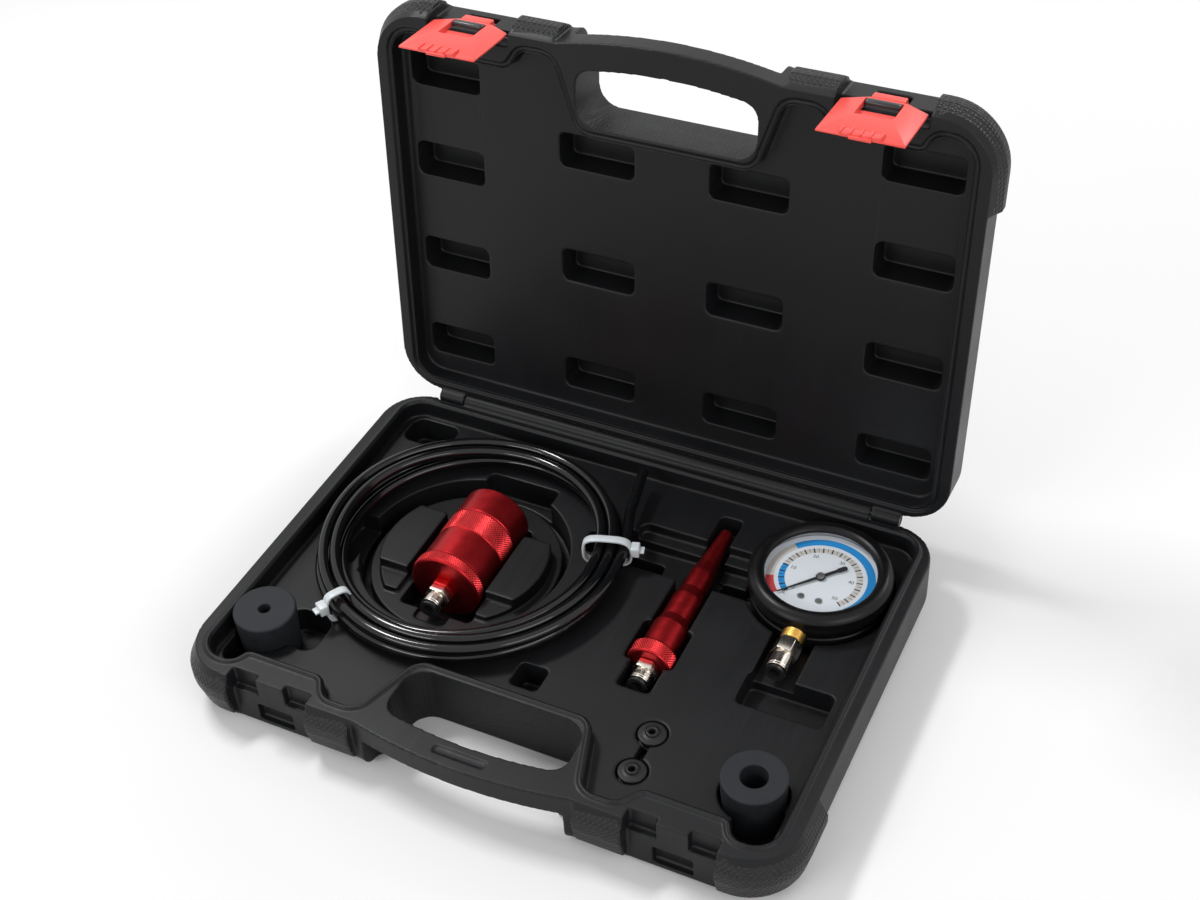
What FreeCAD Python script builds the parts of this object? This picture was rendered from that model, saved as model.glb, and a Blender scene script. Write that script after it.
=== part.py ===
import FreeCAD, Part
import math
import os
import re
from collections import namedtuple

import Sketcher
from FreeCAD import Placement, Rotation, Vector

# Pressure tester in its carry case, in millimetres. The origin is the middle of the case's
# underside, +X points to the right, +Y to the hinge and +Z up. The case stands open: the lid is
# modelled closed, in the same frame, and then turned about the hinge.

SIZES = {
    # Case: outline at the parting line, where the two halves meet
    "case_width": 340.0,
    "case_front": 120.0,
    "case_rear": 119.0,
    "front_corner": 28.0,
    "rear_corner": 25.0,
    "base_height": 36.0,
    "lid_height": 30.0,
    "skin": 2.2,
    "edge_round": 10.0,
    "open_angle": 95.0,
    "tray_drop": 10.0,
    "lid_hollow": 10.0,
    "rim_side": 10.0,
    "rim_rear": 7.5,
    "rim_front": 8.0,
    "ridge_width": 2.0,
    "ridge_height": 1.2,
    "ridge_play": 0.4,
    # Handle: a bowed bar and the finger slot behind it
    "handle_half": 62.0,
    "handle_bow": 6.4,
    "bar_thickness": 13.0,
    "slot_half": 50.5,
    "slot_front": 107.0,
    "slot_rear": 76.0,
    "slot_bow": 3.7,
    "slot_corner": 12.0,
    "badge_length": 30.0,
    "badge_depth": 0.6,
    # Bumpers beside the latches and round the front corners
    "bumper_bulge": 4.6,
    "bumper_inner_end": 63.0,
    "bumper_side": 20.0,
    # Hinge
    "hinge_gap": 3.8,
    "barrel_radius": 4.3,
    "barrel_half": 145.0,
    "knuckle_length": 17.0,
    "knuckle_gap": 0.5,
    "pin_radius": 1.5,
    "pin_play": 0.05,
    "turning_play": 0.4,
    # Latches, their bays and catches
    "latch_place": 113.0,
    "bay_width": 48.0,
    "bay_depth": 3.0,
    "catch_width": 17.0,
    "catch_drop": 19.0,
    "notch_depth": 4.0,
    "base_notch": 12.0,
    "lid_notch": 10.5,
    "hook_room": 12.0,
    "pivot_height": 15.0,
    "pivot_depth": 2.6,
    "pivot_radius": 1.5,
    "pivot_barrel": 2.4,
    "neck_play": 0.5,
    "latch_play": 0.3,
    "latch_thickness": 3.5,
    "latch_drop": 32.0,
    "latch_half": 22.0,
    "window_half": 9.25,
    "hook_reach": 3.0,
    "hook_thickness": 3.0,
    "hook_play": 0.5,
    # Play of a loose piece in its recess
    "well_play": 0.8,
    "rest_gap": 0.3,
    # Gauge
    "gauge_right": 119.3,
    "gauge_back": 66.0,
    "gauge_top": 42.0,
    "boot_radius": 39.0,
    "boot_height": 34.0,
    "boot_floor": 2.8,
    "lip_thickness": 1.6,
    "lip_radius": 30.0,
    "can_radius": 34.0,
    "can_wall": 0.9,
    "fit_gap": 0.2,
    "lens_thickness": 1.9,
    "dial_thickness": 0.8,
    "dial_below_lens": 2.8,
    "stem_height": 20.0,
    "stem_radius": 6.5,
    "stem_neck": 5.0,
    "stem_reach": 6.0,
    "block_half": 8.0,
    "block_front": 26.0,
    "block_rear": 13.4,
    "foot_reach": 4.4,
    "tube_radius": 24.0,
    "tube_width": 3.0,
    "tube_tall": 11.0,
    "tube_skin": 0.4,
    "plate_low": 11.0,
    "plate_gap": 8.0,
    "plate_thickness": 1.0,
    "arbor_radius": 0.9,
    "gear_module": 0.4,
    "pinion_teeth": 10,
    "sector_teeth": 80,
    "gear_thickness": 1.2,
    "tail_length": 3.6,
    "needle_length": 26.0,
    "needle_tail": 16.0,
    "needle_angle": 227.0,
    # Push-in fitting for 6 mm tube
    "tube_bore": 3.1,
    "flow_bore": 2.0,
    "spigot_radius": 4.85,
    "spigot_length": 6.0,
    "hex_width": 13.0,
    "mouth_radius": 4.6,
    "mouth_depth": 7.2,
    "fitting_radius": 5.8,
    "collet_radius": 4.5,
    "collet_travel": 1.0,
    "collet_rim": 1.2,
    # Hose
    "hose_radius": 3.0,
    "coil_sink": 7.9,
    "coil_height": 15.6,
    "coil_outer": 88.5,
    "coil_inner": 71.0,
    "tie_strap": 1.2,
    "tie_width": 4.6,
    "tie_play": 0.5,
    # Large adapter
    "adapter_left": 70.3,
    "adapter_lift": 4.0,
    "adapter_face": 10.8,
    "cap_step": 1.2,
    "cap_length": 8.0,
    "adapter_radius": 20.0,
    "adapter_length": 62.5,
    "band_step": 0.4,
    "band_start": 28.8,
    "band_end": 43.3,
    "adapter_bore": 17.2,
    "adapter_wall": 6.0,
    "passage_radius": 1.2,
    # Stepped adapter
    "stepped_right": 55.5,
    "stepped_height": 22.0,
    "stepped_face": 18.0,
    "collar_radius": 13.0,
    "collar_length": 10.0,
    "land_radius": 9.8,
    # Plugs
    "plug_height": 30.0,
    "plug_taper": 1.4,
    "small_plug_radius": 16.9,
    "small_plug_hole": 3.25,
    "large_plug_radius": 16.7,
    "large_plug_hole": 7.0,
    # Grommets
    "grommet_radius": 7.5,
    "grommet_height": 10.0,
    "grommet_bore": 1.6,
}

DOC = FreeCAD.newDocument("PressureTester")
SHEET = DOC.addObject("Spreadsheet::Sheet", "Sizes")


class Dim:
    """A length that carries its number and the sheet expression that gives it."""

    def __init__(self, number, text):
        self.number = float(number)
        self.text = text

    def __float__(self):
        return self.number

    def __add__(self, other):
        other = as_dim(other)
        return Dim(self.number + other.number, f"({self.text} + {other.text})")

    __radd__ = __add__

    def __neg__(self):
        return Dim(-self.number, f"(0 - {self.text})")

    def __sub__(self, other):
        other = as_dim(other)
        return Dim(self.number - other.number, f"({self.text} - {other.text})")

    def __rsub__(self, other):
        return as_dim(other) - self

    def __mul__(self, other):
        other = as_dim(other)
        return Dim(self.number * other.number, f"({self.text} * {other.text})")

    __rmul__ = __mul__

    def __truediv__(self, other):
        other = as_dim(other)
        return Dim(self.number / other.number, f"({self.text} / {other.text})")


def as_dim(value):
    return value if isinstance(value, Dim) else Dim(value, f"{float(value):.6f}")


def fill_sheet():
    """Writes every size to the sheet under its alias and returns them as Dims."""
    for row, (alias, value) in enumerate(SIZES.items(), start=1):
        SHEET.set(f"A{row}", alias)
        SHEET.set(f"B{row}", str(value))
        SHEET.setAlias(f"B{row}", alias)
    DOC.recompute()
    sizes = {alias: Dim(SHEET.get(alias), f"Sizes.{alias}") for alias in SIZES}
    return namedtuple("SheetSizes", sizes)(**sizes)


v = fill_sheet()


# ---------------------------------------------------------------- outlines

def rounded(corners):
    """The lines and arcs of a closed outline. Each corner is (x, y, rounding radius)."""
    starts = []
    ends = []
    middles = []
    for n, (x, y, radius) in enumerate(corners):
        here = Vector(x, y, 0)
        before = (Vector(corners[n - 1][0], corners[n - 1][1], 0) - here).normalize()
        following = corners[(n + 1) % len(corners)]
        after = (Vector(following[0], following[1], 0) - here).normalize()
        half = before.getAngle(after) / 2
        reach = radius / math.tan(half)
        starts.append(here + before * reach)
        ends.append(here + after * reach)
        inward = (before + after).normalize()
        middles.append(here + inward * (radius / math.sin(half) - radius))
    edges = []
    for n, (x, y, radius) in enumerate(corners):
        if radius > 0:
            edges.append(Part.Arc(starts[n], middles[n], ends[n]))
        following = starts[(n + 1) % len(corners)]
        if ends[n].distanceToPoint(following) > 1e-4:
            edges.append(Part.LineSegment(ends[n], following))
    return edges


def offset(corners, distance):
    """The outline moved outward by distance, for corners listed anticlockwise."""
    moved = []
    for n, (x, y, radius) in enumerate(corners):
        before = corners[n - 1]
        after = corners[(n + 1) % len(corners)]
        into = Vector(x - before[0], y - before[1], 0).normalize()
        out = Vector(after[0] - x, after[1] - y, 0).normalize()
        turn = into.x * out.y - into.y * out.x
        share = distance / (1 + into.dot(out))
        shift = Vector(into.y + out.y, -into.x - out.x, 0) * share
        bigger = radius + distance if turn > 0 else radius - distance
        moved.append((x + shift.x, y + shift.y, max(bigger, 0.0) if radius > 0 else 0.0))
    return moved


def block_outline(left, right, front, rear, corner=3.0):
    left, right, front, rear = float(left), float(right), float(front), float(rear)
    corner = float(corner)
    return [
        (left, front, corner),
        (right, front, corner),
        (right, rear, corner),
        (left, rear, corner),
    ]


def disc_outline(x, y, radius):
    x, y, radius = float(x), float(y), float(radius)
    return block_outline(x - radius, x + radius, y - radius, y + radius, radius)


def both_sides(right_half, middle=()):
    """A whole outline from its right half, listed from front to rear, and a corner on x = 0."""
    left_half = [(-x, y, radius) for x, y, radius in reversed(right_half)]
    return [*middle, *right_half, *left_half]


def bowed_corner(half_length, y, bow, share):
    """The corner on x = 0 whose rounding bows a front edge outward by about bow."""
    turn = 2 * math.atan(bow / half_length)
    radius = share * half_length / math.sin(turn)
    return (0.0, y - half_length * math.tan(turn), radius)


def case_outline():
    side = float(v.case_width) / 2
    front = -float(v.case_front)
    half = float(v.handle_half)
    right = [
        (half, front, 20.0),
        (side, front, float(v.front_corner)),
        (side, float(v.case_rear), float(v.rear_corner)),
    ]
    return both_sides(right, [bowed_corner(half, front, float(v.handle_bow), 0.95)])


def slot_outline():
    half = float(v.slot_half)
    front = -float(v.slot_front)
    right = [
        (half, front, 0.8 * float(v.slot_corner)),
        (half, -float(v.slot_rear), float(v.slot_corner)),
    ]
    return both_sides(right, [bowed_corner(half, front, float(v.slot_bow), 0.75)])


def tray_outline():
    """The tray's edge: it passes behind the finger slot and reaches into two lobes a side."""
    side = float(v.case_width / 2 - v.rim_side)
    lobe = -float(v.case_front - v.rim_front)
    bay = -float(v.case_front - v.bay_depth - v.notch_depth) + 13.0
    slot = -float(v.slot_rear) + 5.5
    latch = float(v.latch_place)
    half_bay = float(v.bay_width) / 2
    end = float(v.slot_half)
    right = [
        (end, slot, 12.0),
        (end + 13.5, lobe, 9.0),
        (latch - half_bay - 7.0, lobe, 8.0),
        (latch - half_bay + 1.0, bay, 8.0),
        (latch + half_bay - 1.0, bay, 6.0),
        (latch + half_bay + 3.5, lobe + 2.0, 8.0),
        (side, lobe + 2.0, 13.0),
        (side, float(v.case_rear - v.rim_rear), 12.0),
    ]
    return both_sides(right)


# ---------------------------------------------------------------- document helpers

def bind(item, name, value):
    item.setExpression(name, as_dim(value).text)


def new_body(label):
    body = DOC.addObject("PartDesign::Body", re.sub(r"\W", "_", label))
    body.Label = label
    return body


def new_sketch(body, role="XY_Plane", height=0.0):
    sketch = body.newObject("Sketcher::SketchObject", "Sketch")
    planes = [item for item in body.Origin.OriginFeatures if item.Role == role]
    sketch.AttachmentSupport = [(planes[0], "")]
    sketch.MapMode = "FlatFace"
    bind(sketch, "AttachmentOffset.Base.z", height)
    return sketch


def add_outline(sketch, corners):
    sketch.addGeometry(rounded(corners), False)


def pin_point(sketch, geometry, point, x, y):
    """Ties a point of the sketch to the sheet by its two coordinates."""
    for kind, place in (("DistanceX", as_dim(x)), ("DistanceY", as_dim(y))):
        rule = Sketcher.Constraint(kind, -1, 1, geometry, point, place.number)
        index = sketch.addConstraint(rule)
        sketch.setExpression(f"Constraints[{index}]", place.text)


def add_circle(sketch, x, y, radius):
    radius = as_dim(radius)
    centre = Vector(float(x), float(y), 0)
    circle = sketch.addGeometry(Part.Circle(centre, Vector(0, 0, 1), radius.number), False)
    pin_point(sketch, circle, 3, x, y)
    index = sketch.addConstraint(Sketcher.Constraint("Radius", circle, radius.number))
    sketch.setExpression(f"Constraints[{index}]", radius.text)


def add_polygon(sketch, corners):
    """A closed polygon with each corner tied to the sheet."""
    places = [Vector(float(x), float(y), 0) for x, y in corners]
    count = len(places)
    lines = [Part.LineSegment(places[n], places[(n + 1) % count]) for n in range(count)]
    first = sketch.addGeometry(lines, False)[0]
    for n in range(count):
        meet = Sketcher.Constraint("Coincident", first + n, 2, first + (n + 1) % count, 1)
        sketch.addConstraint(meet)
    for n, (x, y) in enumerate(corners):
        pin_point(sketch, first + n, 1, x, y)


def rectangle(left, right, low, high):
    return [(left, low), (right, low), (right, high), (left, high)]


def pad(body, sketch, length, backward=False):
    feature = body.newObject("PartDesign::Pad", "Pad")
    feature.Profile = sketch
    feature.Reversed = backward
    bind(feature, "Length", length)
    return feature


def pocket(body, sketch, depth):
    feature = body.newObject("PartDesign::Pocket", "Pocket")
    feature.Profile = sketch
    bind(feature, "Length", depth)
    return feature


def place(item, x=0.0, y=0.0, z=0.0, turn=Rotation()):
    item.Placement = Placement(Vector(float(x), float(y), float(z)), turn)
    for name, value in (("x", x), ("y", y), ("z", z)):
        bind(item, f"Placement.Base.{name}", value)
    return item


def turned(label, profile, angle=360.0):
    """A piece turned about its own Z axis from a profile of (radius, height) corners."""
    body = new_body(label)
    sketch = new_sketch(body, "XZ_Plane")
    add_polygon(sketch, profile)
    feature = body.newObject("PartDesign::Revolution", "Turn")
    feature.Profile = sketch
    feature.ReferenceAxis = (sketch, ["V_Axis"])
    feature.Angle = angle
    return body


def stacked(label, layers, bores=()):
    """A piece of flat layers: each is (kind, low, high, sizes), and the bores are pockets."""
    body = new_body(label)
    for draw, low, high in layers:
        sketch = new_sketch(body, height=low)
        draw(sketch)
        pad(body, sketch, high - low)
    for draw, low, high in bores:
        sketch = new_sketch(body, height=high)
        draw(sketch)
        pocket(body, sketch, high - low)
    return body


def round_layer(radius, x=0.0, y=0.0):
    return lambda sketch: add_circle(sketch, x, y, radius)


def straight_layer(corners):
    return lambda sketch: add_polygon(sketch, corners)


def outline_layer(*loops):
    def draw(sketch):
        for corners in loops:
            add_outline(sketch, corners)
    return draw


def hexagon(width):
    corner = width / math.sqrt(3.0)
    half = corner / 2
    flat = width / 2
    return [(corner, 0.0), (half, flat), (-half, flat), (-corner, 0.0), (-half, -flat), (half, -flat)]


def rod(label, x, y, z, length, radius):
    """A cylinder along +X from (x, y, z)."""
    item = DOC.addObject("Part::Cylinder", label)
    bind(item, "Radius", radius)
    bind(item, "Height", length)
    return place(item, x, y, z, Rotation(Vector(0, 1, 0), 90))


def brick(label, x, y, z, along_x, along_y, along_z):
    item = DOC.addObject("Part::Box", label)
    bind(item, "Length", along_x)
    bind(item, "Width", along_y)
    bind(item, "Height", along_z)
    return place(item, x, y, z)


def fused(label, items):
    result = DOC.addObject("Part::MultiFuse", label)
    result.Shapes = items
    return result


def cut(label, base, tool):
    result = DOC.addObject("Part::Cut", label)
    result.Base = base
    result.Tool = tool
    return result


NODES = {}


def keep(label, item, pose=None):
    """Names a finished sub-part, and moves it where a pose is given."""
    item.Label = label
    if pose is not None:
        item.Placement = pose
    NODES[label] = item
    return item


# ---------------------------------------------------------------- places that several pieces share

PARTING = v.base_height
TRAY = PARTING - v.tray_drop
LID_TOP = PARTING + v.lid_height
HINGE_Y = v.case_rear + v.hinge_gap
BAY_FACE = v.case_front - v.bay_depth
PIVOT_Y = BAY_FACE - v.pivot_depth
PIVOT_Z = PARTING + v.pivot_height
GAUGE_LOW = v.gauge_top - v.boot_height
STEM_Z = GAUGE_LOW + v.stem_height
STEM_END = v.boot_radius + v.stem_reach
PLATE_LOW = GAUGE_LOW + v.plate_low
PLATE_HIGH = PLATE_LOW + v.plate_thickness + v.plate_gap
CAN_LOW = GAUGE_LOW + v.boot_floor + v.fit_gap
CAN_HIGH = v.gauge_top - v.lip_thickness - v.fit_gap
CAN_INSIDE = v.can_radius - v.can_wall
LENS_RING_LOW = CAN_HIGH - 1.2
LENS_LOW = LENS_RING_LOW - v.lens_thickness
DIAL_TOP = LENS_LOW - v.dial_below_lens
DIAL_LOW = DIAL_TOP - v.dial_thickness
SECTOR_REACH = v.gear_module * v.sector_teeth / 2
PINION_PITCH = v.gear_module * v.pinion_teeth / 2
SECTOR_X = v.gauge_right + SECTOR_REACH + PINION_PITCH
COIL_LOW = PARTING - v.coil_sink
COIL_CENTRE = (-67.5, 17.5)
COIL_HOLE_CENTRE = (-74.0, 15.0)
ISLAND_CENTRE = (-72.4, 17.1)
WING_RADIUS = 48.0
ADAPTER_Z = v.adapter_radius + v.adapter_lift
CAP_RADIUS = v.adapter_radius + v.cap_step
BAND_RADIUS = v.adapter_radius + v.band_step
SMALL_PLUG = (-142.1, -75.2)
LARGE_PLUG = (137.7, -74.9)
SMALL_PLUG_TOP = 41.0
LARGE_PLUG_TOP = 39.4
GROMMETS = {"rear_grommet": (77.2, -60.3), "front_grommet": (77.7, -85.5)}
GROMMET_TOP = 28.0

OPENED = Placement(
    Vector(0, 0, 0),
    Rotation(Vector(-1, 0, 0), float(v.open_angle)),
    Vector(0, float(HINGE_Y), float(PARTING)),
)


# ---------------------------------------------------------------- case halves

Hollow = namedtuple("Hollow", "loops low high")


def moulding(label, low, high, rounded_z, inset, hollows):
    """One skin of a double-walled half: the outline between low and high, less its hollows."""
    body = new_body(label)
    sketch = new_sketch(body, height=low + inset)
    add_outline(sketch, offset(case_outline(), -float(inset)))
    block = pad(body, sketch, high - low - 2 * inset)
    DOC.recompute()
    level = float(rounded_z)
    flat = [n for n, face in enumerate(block.Shape.Faces, 1) if abs(face.CenterOfMass.z - level) < 0.01]
    edge = body.newObject("PartDesign::Fillet", "EdgeRound")
    edge.Base = (block, [f"Face{flat[0]}"])
    bind(edge, "Radius", v.edge_round - inset)
    tools = []
    for n, hollow in enumerate(hollows):
        tool = new_body(f"{label}_hollow_{n}")
        sketch = new_sketch(tool, height=hollow.low - inset)
        add_outline(sketch, offset(hollow.loops[0], float(inset)))
        for island in hollow.loops[1:]:
            add_outline(sketch, offset(island, -float(inset)))
        pad(tool, sketch, hollow.high - hollow.low + 2 * inset)
        tools.append(tool)
    return cut(f"{label}_moulded", body, fused(f"{label}_hollows", tools))


def bumper_profile(height, up):
    """Corners of a bumper's section: distance from the corner's axis, and height."""
    wall = v.front_corner
    end = height - 6.0
    steps = [
        (wall - 1.2, 0.6),
        (wall, 0.6),
        (wall + v.bumper_bulge, as_dim(10.0)),
        (wall + v.bumper_bulge, as_dim(16.0)),
        (wall + v.bumper_bulge / 3, end - 2.0),
        (wall - 1.2, end),
    ]
    return [(radius, PARTING + depth if up else PARTING - depth) for radius, depth in steps]


def bumper_run(label, profile, x, y, angle, length, backward):
    body = new_body(label)
    sketch = new_sketch(body, "XZ_Plane")
    add_polygon(sketch, profile)
    pad(body, sketch, length, backward)
    return place(body, x, y, 0.0, Rotation(Vector(0, 0, 1), angle))


def bumpers(name, profile):
    """Both sides' corner guards and the short guards between latch and handle."""
    items = []
    side = v.case_width / 2 - v.front_corner
    y = v.front_corner - v.case_front
    bay_inner = v.latch_place - v.bay_width / 2
    front_run = side - v.latch_place - v.bay_width / 2
    for tag, sign, angle in (("right", 1, -90), ("left", -1, 180)):
        corner = turned(f"{name}_{tag}_corner", profile, 90.0)
        items.append(place(corner, sign * side, y, 0.0, Rotation(Vector(0, 0, 1), angle)))
        flank_angle = 0 if sign > 0 else 180
        items.append(
            bumper_run(f"{name}_{tag}_flank", profile, sign * side, y, flank_angle, v.bumper_side, sign > 0)
        )
        items.append(
            bumper_run(f"{name}_{tag}_front", profile, sign * side, y, -90, front_run, sign < 0)
        )
        items.append(
            bumper_run(
                f"{name}_{tag}_guard", profile, sign * bay_inner, y, -90,
                bay_inner - v.bumper_inner_end, sign < 0,
            )
        )
    return items


def bay_hollows(sign, notch, low, high, up):
    """The latch bay on one side of a half, with the notches on both sides of its catch."""
    middle = sign * float(v.latch_place)
    half = float(v.bay_width) / 2
    face = -float(BAY_FACE)
    deep = face + float(v.notch_depth)
    outside = -float(v.case_front) - 20.0
    catch = float(v.catch_width) / 2
    bay = block_outline(middle - half, middle + half, outside, face, 0.0)
    rows = [Hollow([bay], low - 1.0, high + 1.0)]
    for left, right in ((middle - half, middle - catch), (middle + catch, middle + half)):
        notch_low = PARTING - 1.0 if up else PARTING - notch
        notch_high = PARTING + notch if up else PARTING + 1.0
        rows.append(Hollow([block_outline(left, right, outside, deep, 0.0)], notch_low, notch_high))
    return rows


def pocket_well(centre, radius, low):
    return Hollow([disc_outline(*centre, radius)], low, PARTING + 1.0)


def open_well(left, right, front, rear, low, corner=3.0):
    return Hollow([block_outline(left, right, front, rear, corner)], as_dim(low), PARTING + 1.0)


def wing_outline(sign, inner, front, rear):
    """A block beside the large adapter whose outer side follows a circle round the island."""
    centre_x, centre_y = ISLAND_CENTRE
    first, last = math.radians(-45.0), math.radians(26.0)
    half = (last - first) / 2
    mid = (last + first) / 2
    reach = WING_RADIUS / math.cos(half)
    ends = []
    for angle, y in ((first, front), (last, rear)):
        run = (y - centre_y - WING_RADIUS * math.sin(angle)) / math.cos(angle)
        ends.append(centre_x + sign * (WING_RADIUS * math.cos(angle) - run * math.sin(angle)))
    crown = (centre_x + sign * reach * math.cos(mid), centre_y + reach * math.sin(mid), WING_RADIUS)
    loop = [(ends[0], front, 0.0), crown, (ends[1], rear, 0.0), (inner, rear, 1.5), (inner, front, 1.5)]
    return loop if sign > 0 else loop[::-1]


def base_hollows():
    """All hollows of the base: slot, tray, and a recess for each piece and for the fingers."""
    high = PARTING + 1.0
    play = v.well_play
    slot_half = float(v.slot_half)
    rows = [
        Hollow([tray_outline()], TRAY, high),
        Hollow([slot_outline()], as_dim(-1.0), high),
        Hollow(
            [block_outline(-slot_half - 6.0, slot_half + 6.0, -float(v.case_front) - 20.0,
                           -float(v.slot_front), 6.0)],
            as_dim(-1.0), PARTING - v.bar_thickness,
        ),
    ]
    badge = v.badge_length / 2
    bar_middle = float(v.slot_front + v.slot_bow + v.case_front + v.handle_bow) / 2
    rows.append(open_well(-badge, badge, -bar_middle - 2.5, -bar_middle + 2.5, PARTING - v.badge_depth, 2.4))
    for sign in (1, -1):
        rows += bay_hollows(sign, v.base_notch, as_dim(0.0), PARTING, False)
        middle = sign * float(v.latch_place)
        reach = float(v.catch_width) / 2 + 2.0
        hook = block_outline(middle - reach, middle + reach, -float(v.case_front) - 20.0,
                             -float(BAY_FACE - v.notch_depth), 0.0)
        rows.append(Hollow([hook], PARTING - v.catch_drop - v.hook_room, PARTING - v.catch_drop))
    return rows + tray_recesses(play)


def tray_recesses(play):
    gauge_x = float(v.gauge_right)
    gauge_y = float(v.gauge_back)
    stepped_x = float(v.stepped_right)
    adapter_x = -float(v.adapter_left)
    trough = float(v.stem_radius) + 5.0
    collar = float(v.collar_radius + play)
    land = float(v.land_radius + play)
    face = -float(v.stepped_face)
    nose = face - float(play) - 19.0
    cap = float(CAP_RADIUS + play)
    adapter_front = -float(v.adapter_face) - 13.0
    adapter_rear = -float(v.adapter_face) + float(v.adapter_length + play)
    rows = [
        # Gauge, its stem and the finger room beside the fitting
        pocket_well((gauge_x, gauge_y), v.boot_radius + play + 0.6, GAUGE_LOW - v.rest_gap),
        open_well(gauge_x - trough, gauge_x + trough, -12.0, gauge_y, STEM_Z - 10.0, 4.0),
        open_well(gauge_x - 13.0, gauge_x + 34.0, -25.0, -2.0, 12.0, 4.0),
        # Stepped adapter: collar, body, fitting and tip
        open_well(stepped_x - collar, stepped_x + collar, face - 0.8, 10.0,
                  v.stepped_height - v.collar_radius - v.rest_gap),
        open_well(stepped_x - land, stepped_x + land, 9.0, 60.0,
                  v.stepped_height - v.land_radius - v.rest_gap),
        open_well(stepped_x - 9.5, stepped_x + 9.5, nose, face, v.stepped_height - v.hex_width / 2 - 2.0),
        open_well(stepped_x - 6.5, stepped_x + 6.5, 56.0, 98.7, 12.0),
        # Valley that gives room for the fingers, with two deeper pockets in it
        open_well(0.0, gauge_x, 43.0, 69.0, 14.0, 5.0),
        open_well(10.0, gauge_x - 30.0, 66.0, 77.0, 20.0, 5.0),
        open_well(-14.0, 31.0, 44.0, 60.0, 6.0),
        open_well(65.0, 84.0, 44.0, 60.0, 6.0),
        # Finger pockets and small recesses
        open_well(-5.0, 11.0, -59.0, -43.0, 10.0),
        open_well(-89.0, -45.0, 69.0, 81.0, 10.0),
        open_well(-144.0, -127.0, -16.0, 22.0, 14.0),
        open_well(-155.0, -125.0, 88.0, 108.0, 10.0, 6.0),
        # Plugs, each with a finger pocket beside it
        pocket_well(SMALL_PLUG, v.small_plug_radius + play, SMALL_PLUG_TOP - v.plug_height - v.rest_gap),
        pocket_well(LARGE_PLUG, v.large_plug_radius + play, LARGE_PLUG_TOP - v.plug_height - v.rest_gap),
        open_well(-137.0, -111.0, -82.0, -56.0, 10.0, 8.0),
        open_well(LARGE_PLUG[0] - 4.0, 156.0, -104.0, LARGE_PLUG[1], 10.0, 8.0),
        open_well(-156.0, SMALL_PLUG[0] + 4.0, -104.0, SMALL_PLUG[1], 10.0, 8.0),
        # Grommets and the slot that joins their recesses
        open_well(75.0, 79.5, -85.0, -60.0, 18.0, 1.0),
    ]
    for centre in GROMMETS.values():
        rows.append(pocket_well(centre, v.grommet_radius + play, GROMMET_TOP - v.grommet_height - v.rest_gap))
    # Round island with two wings, each with a lower step in front, beside the large adapter
    wings = [
        wing_outline(-1, adapter_x - cap - 4.2, -19.0, 41.0),
        wing_outline(1, adapter_x + cap + 0.8, -19.0, 41.0),
    ]
    rows.append(Hollow([disc_outline(*ISLAND_CENTRE, 59.0), disc_outline(*ISLAND_CENTRE, 54.0)],
                       as_dim(8.0), PARTING + 1.0))
    rows.append(Hollow([disc_outline(*ISLAND_CENTRE, 54.5), *wings], as_dim(17.5), PARTING + 1.0))
    for left, right in ((-121.0, adapter_x - cap - 3.7), (adapter_x + cap + 0.3, -23.5)):
        rows.append(open_well(left, right, -19.5, -6.0, 20.5, 2.0))
    rows.append(open_well(adapter_x - cap, adapter_x + cap, adapter_front, adapter_rear,
                          ADAPTER_Z - CAP_RADIUS - v.rest_gap, 3.0))
    rows.append(open_well(adapter_x - 9.5, adapter_x + 9.5, adapter_front - 7.5, adapter_front + 4.0,
                          ADAPTER_Z - v.hex_width / 2 - 2.0))
    return rows


def lid_hollows():
    """All hollows of the lid: slot, inner hollow, tack-off pockets, latch bays and pivots."""
    low = PARTING - 1.0
    slot_half = float(v.slot_half)
    panel = PARTING + v.lid_hollow
    rows = [
        Hollow([tray_outline()], low, panel),
        Hollow([slot_outline()], low, LID_TOP + 1.0),
        Hollow(
            [block_outline(-slot_half - 6.0, slot_half + 6.0, -float(v.case_front) - 20.0,
                           -float(v.slot_front), 6.0)],
            PARTING + v.bar_thickness, LID_TOP + 1.0,
        ),
        Hollow([offset(tray_outline(), float(v.ridge_width) + 1.0 + float(v.ridge_play)),
                offset(tray_outline(), 1.0 - float(v.ridge_play))],
               low, PARTING + v.ridge_height + v.ridge_play),
    ]
    tack_high = LID_TOP - v.skin - 1.3
    # Each column of pockets is (distance from the middle, half width, places along Y)
    columns = (
        (134.0, 21.0, (89.0, 29.5, -31.0, -86.0)),
        (43.5, 22.0, (89.0, 16.5, -55.0)),
    )
    for sign in (1, -1):
        for middle, half, centres in columns:
            for centre in centres:
                pocket_outline = block_outline(sign * middle - half, sign * middle + half,
                                               centre - 10.0, centre + 10.0, 4.0)
                rows.append(Hollow([pocket_outline], low, tack_high))
        label = block_outline(sign * 134.0 - 21.0, sign * 134.0 + 21.0, -80.0, -38.0, 1.0)
        rows.append(Hollow([label], low, panel + 0.8))
        rows += bay_hollows(sign, v.lid_notch, PARTING, LID_TOP, True)
        middle = sign * float(v.latch_place)
        room = float(v.catch_width) / 2 + float(v.neck_play)
        neck = block_outline(middle - room, middle + room, -float(v.case_front) - 20.0,
                             -float(PIVOT_Y - v.pivot_barrel - v.turning_play), 0.0)
        swing = v.pivot_depth + v.latch_play + v.latch_thickness + v.neck_play
        rows.append(Hollow([neck], PARTING + 8.4, PIVOT_Z + swing))
    return rows


def hinge_run(name, x, length, low_side):
    """A length of hinge barrel with the web that joins it to its half's rear wall."""
    barrel = rod(f"{name}_barrel", x, HINGE_Y, PARTING, length, v.barrel_radius)
    web_z = PARTING - v.barrel_radius if low_side else PARTING
    web = brick(f"{name}_web", x, v.case_rear - 0.6, web_z, length, v.hinge_gap + 0.6, v.barrel_radius)
    return [barrel, web]


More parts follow.
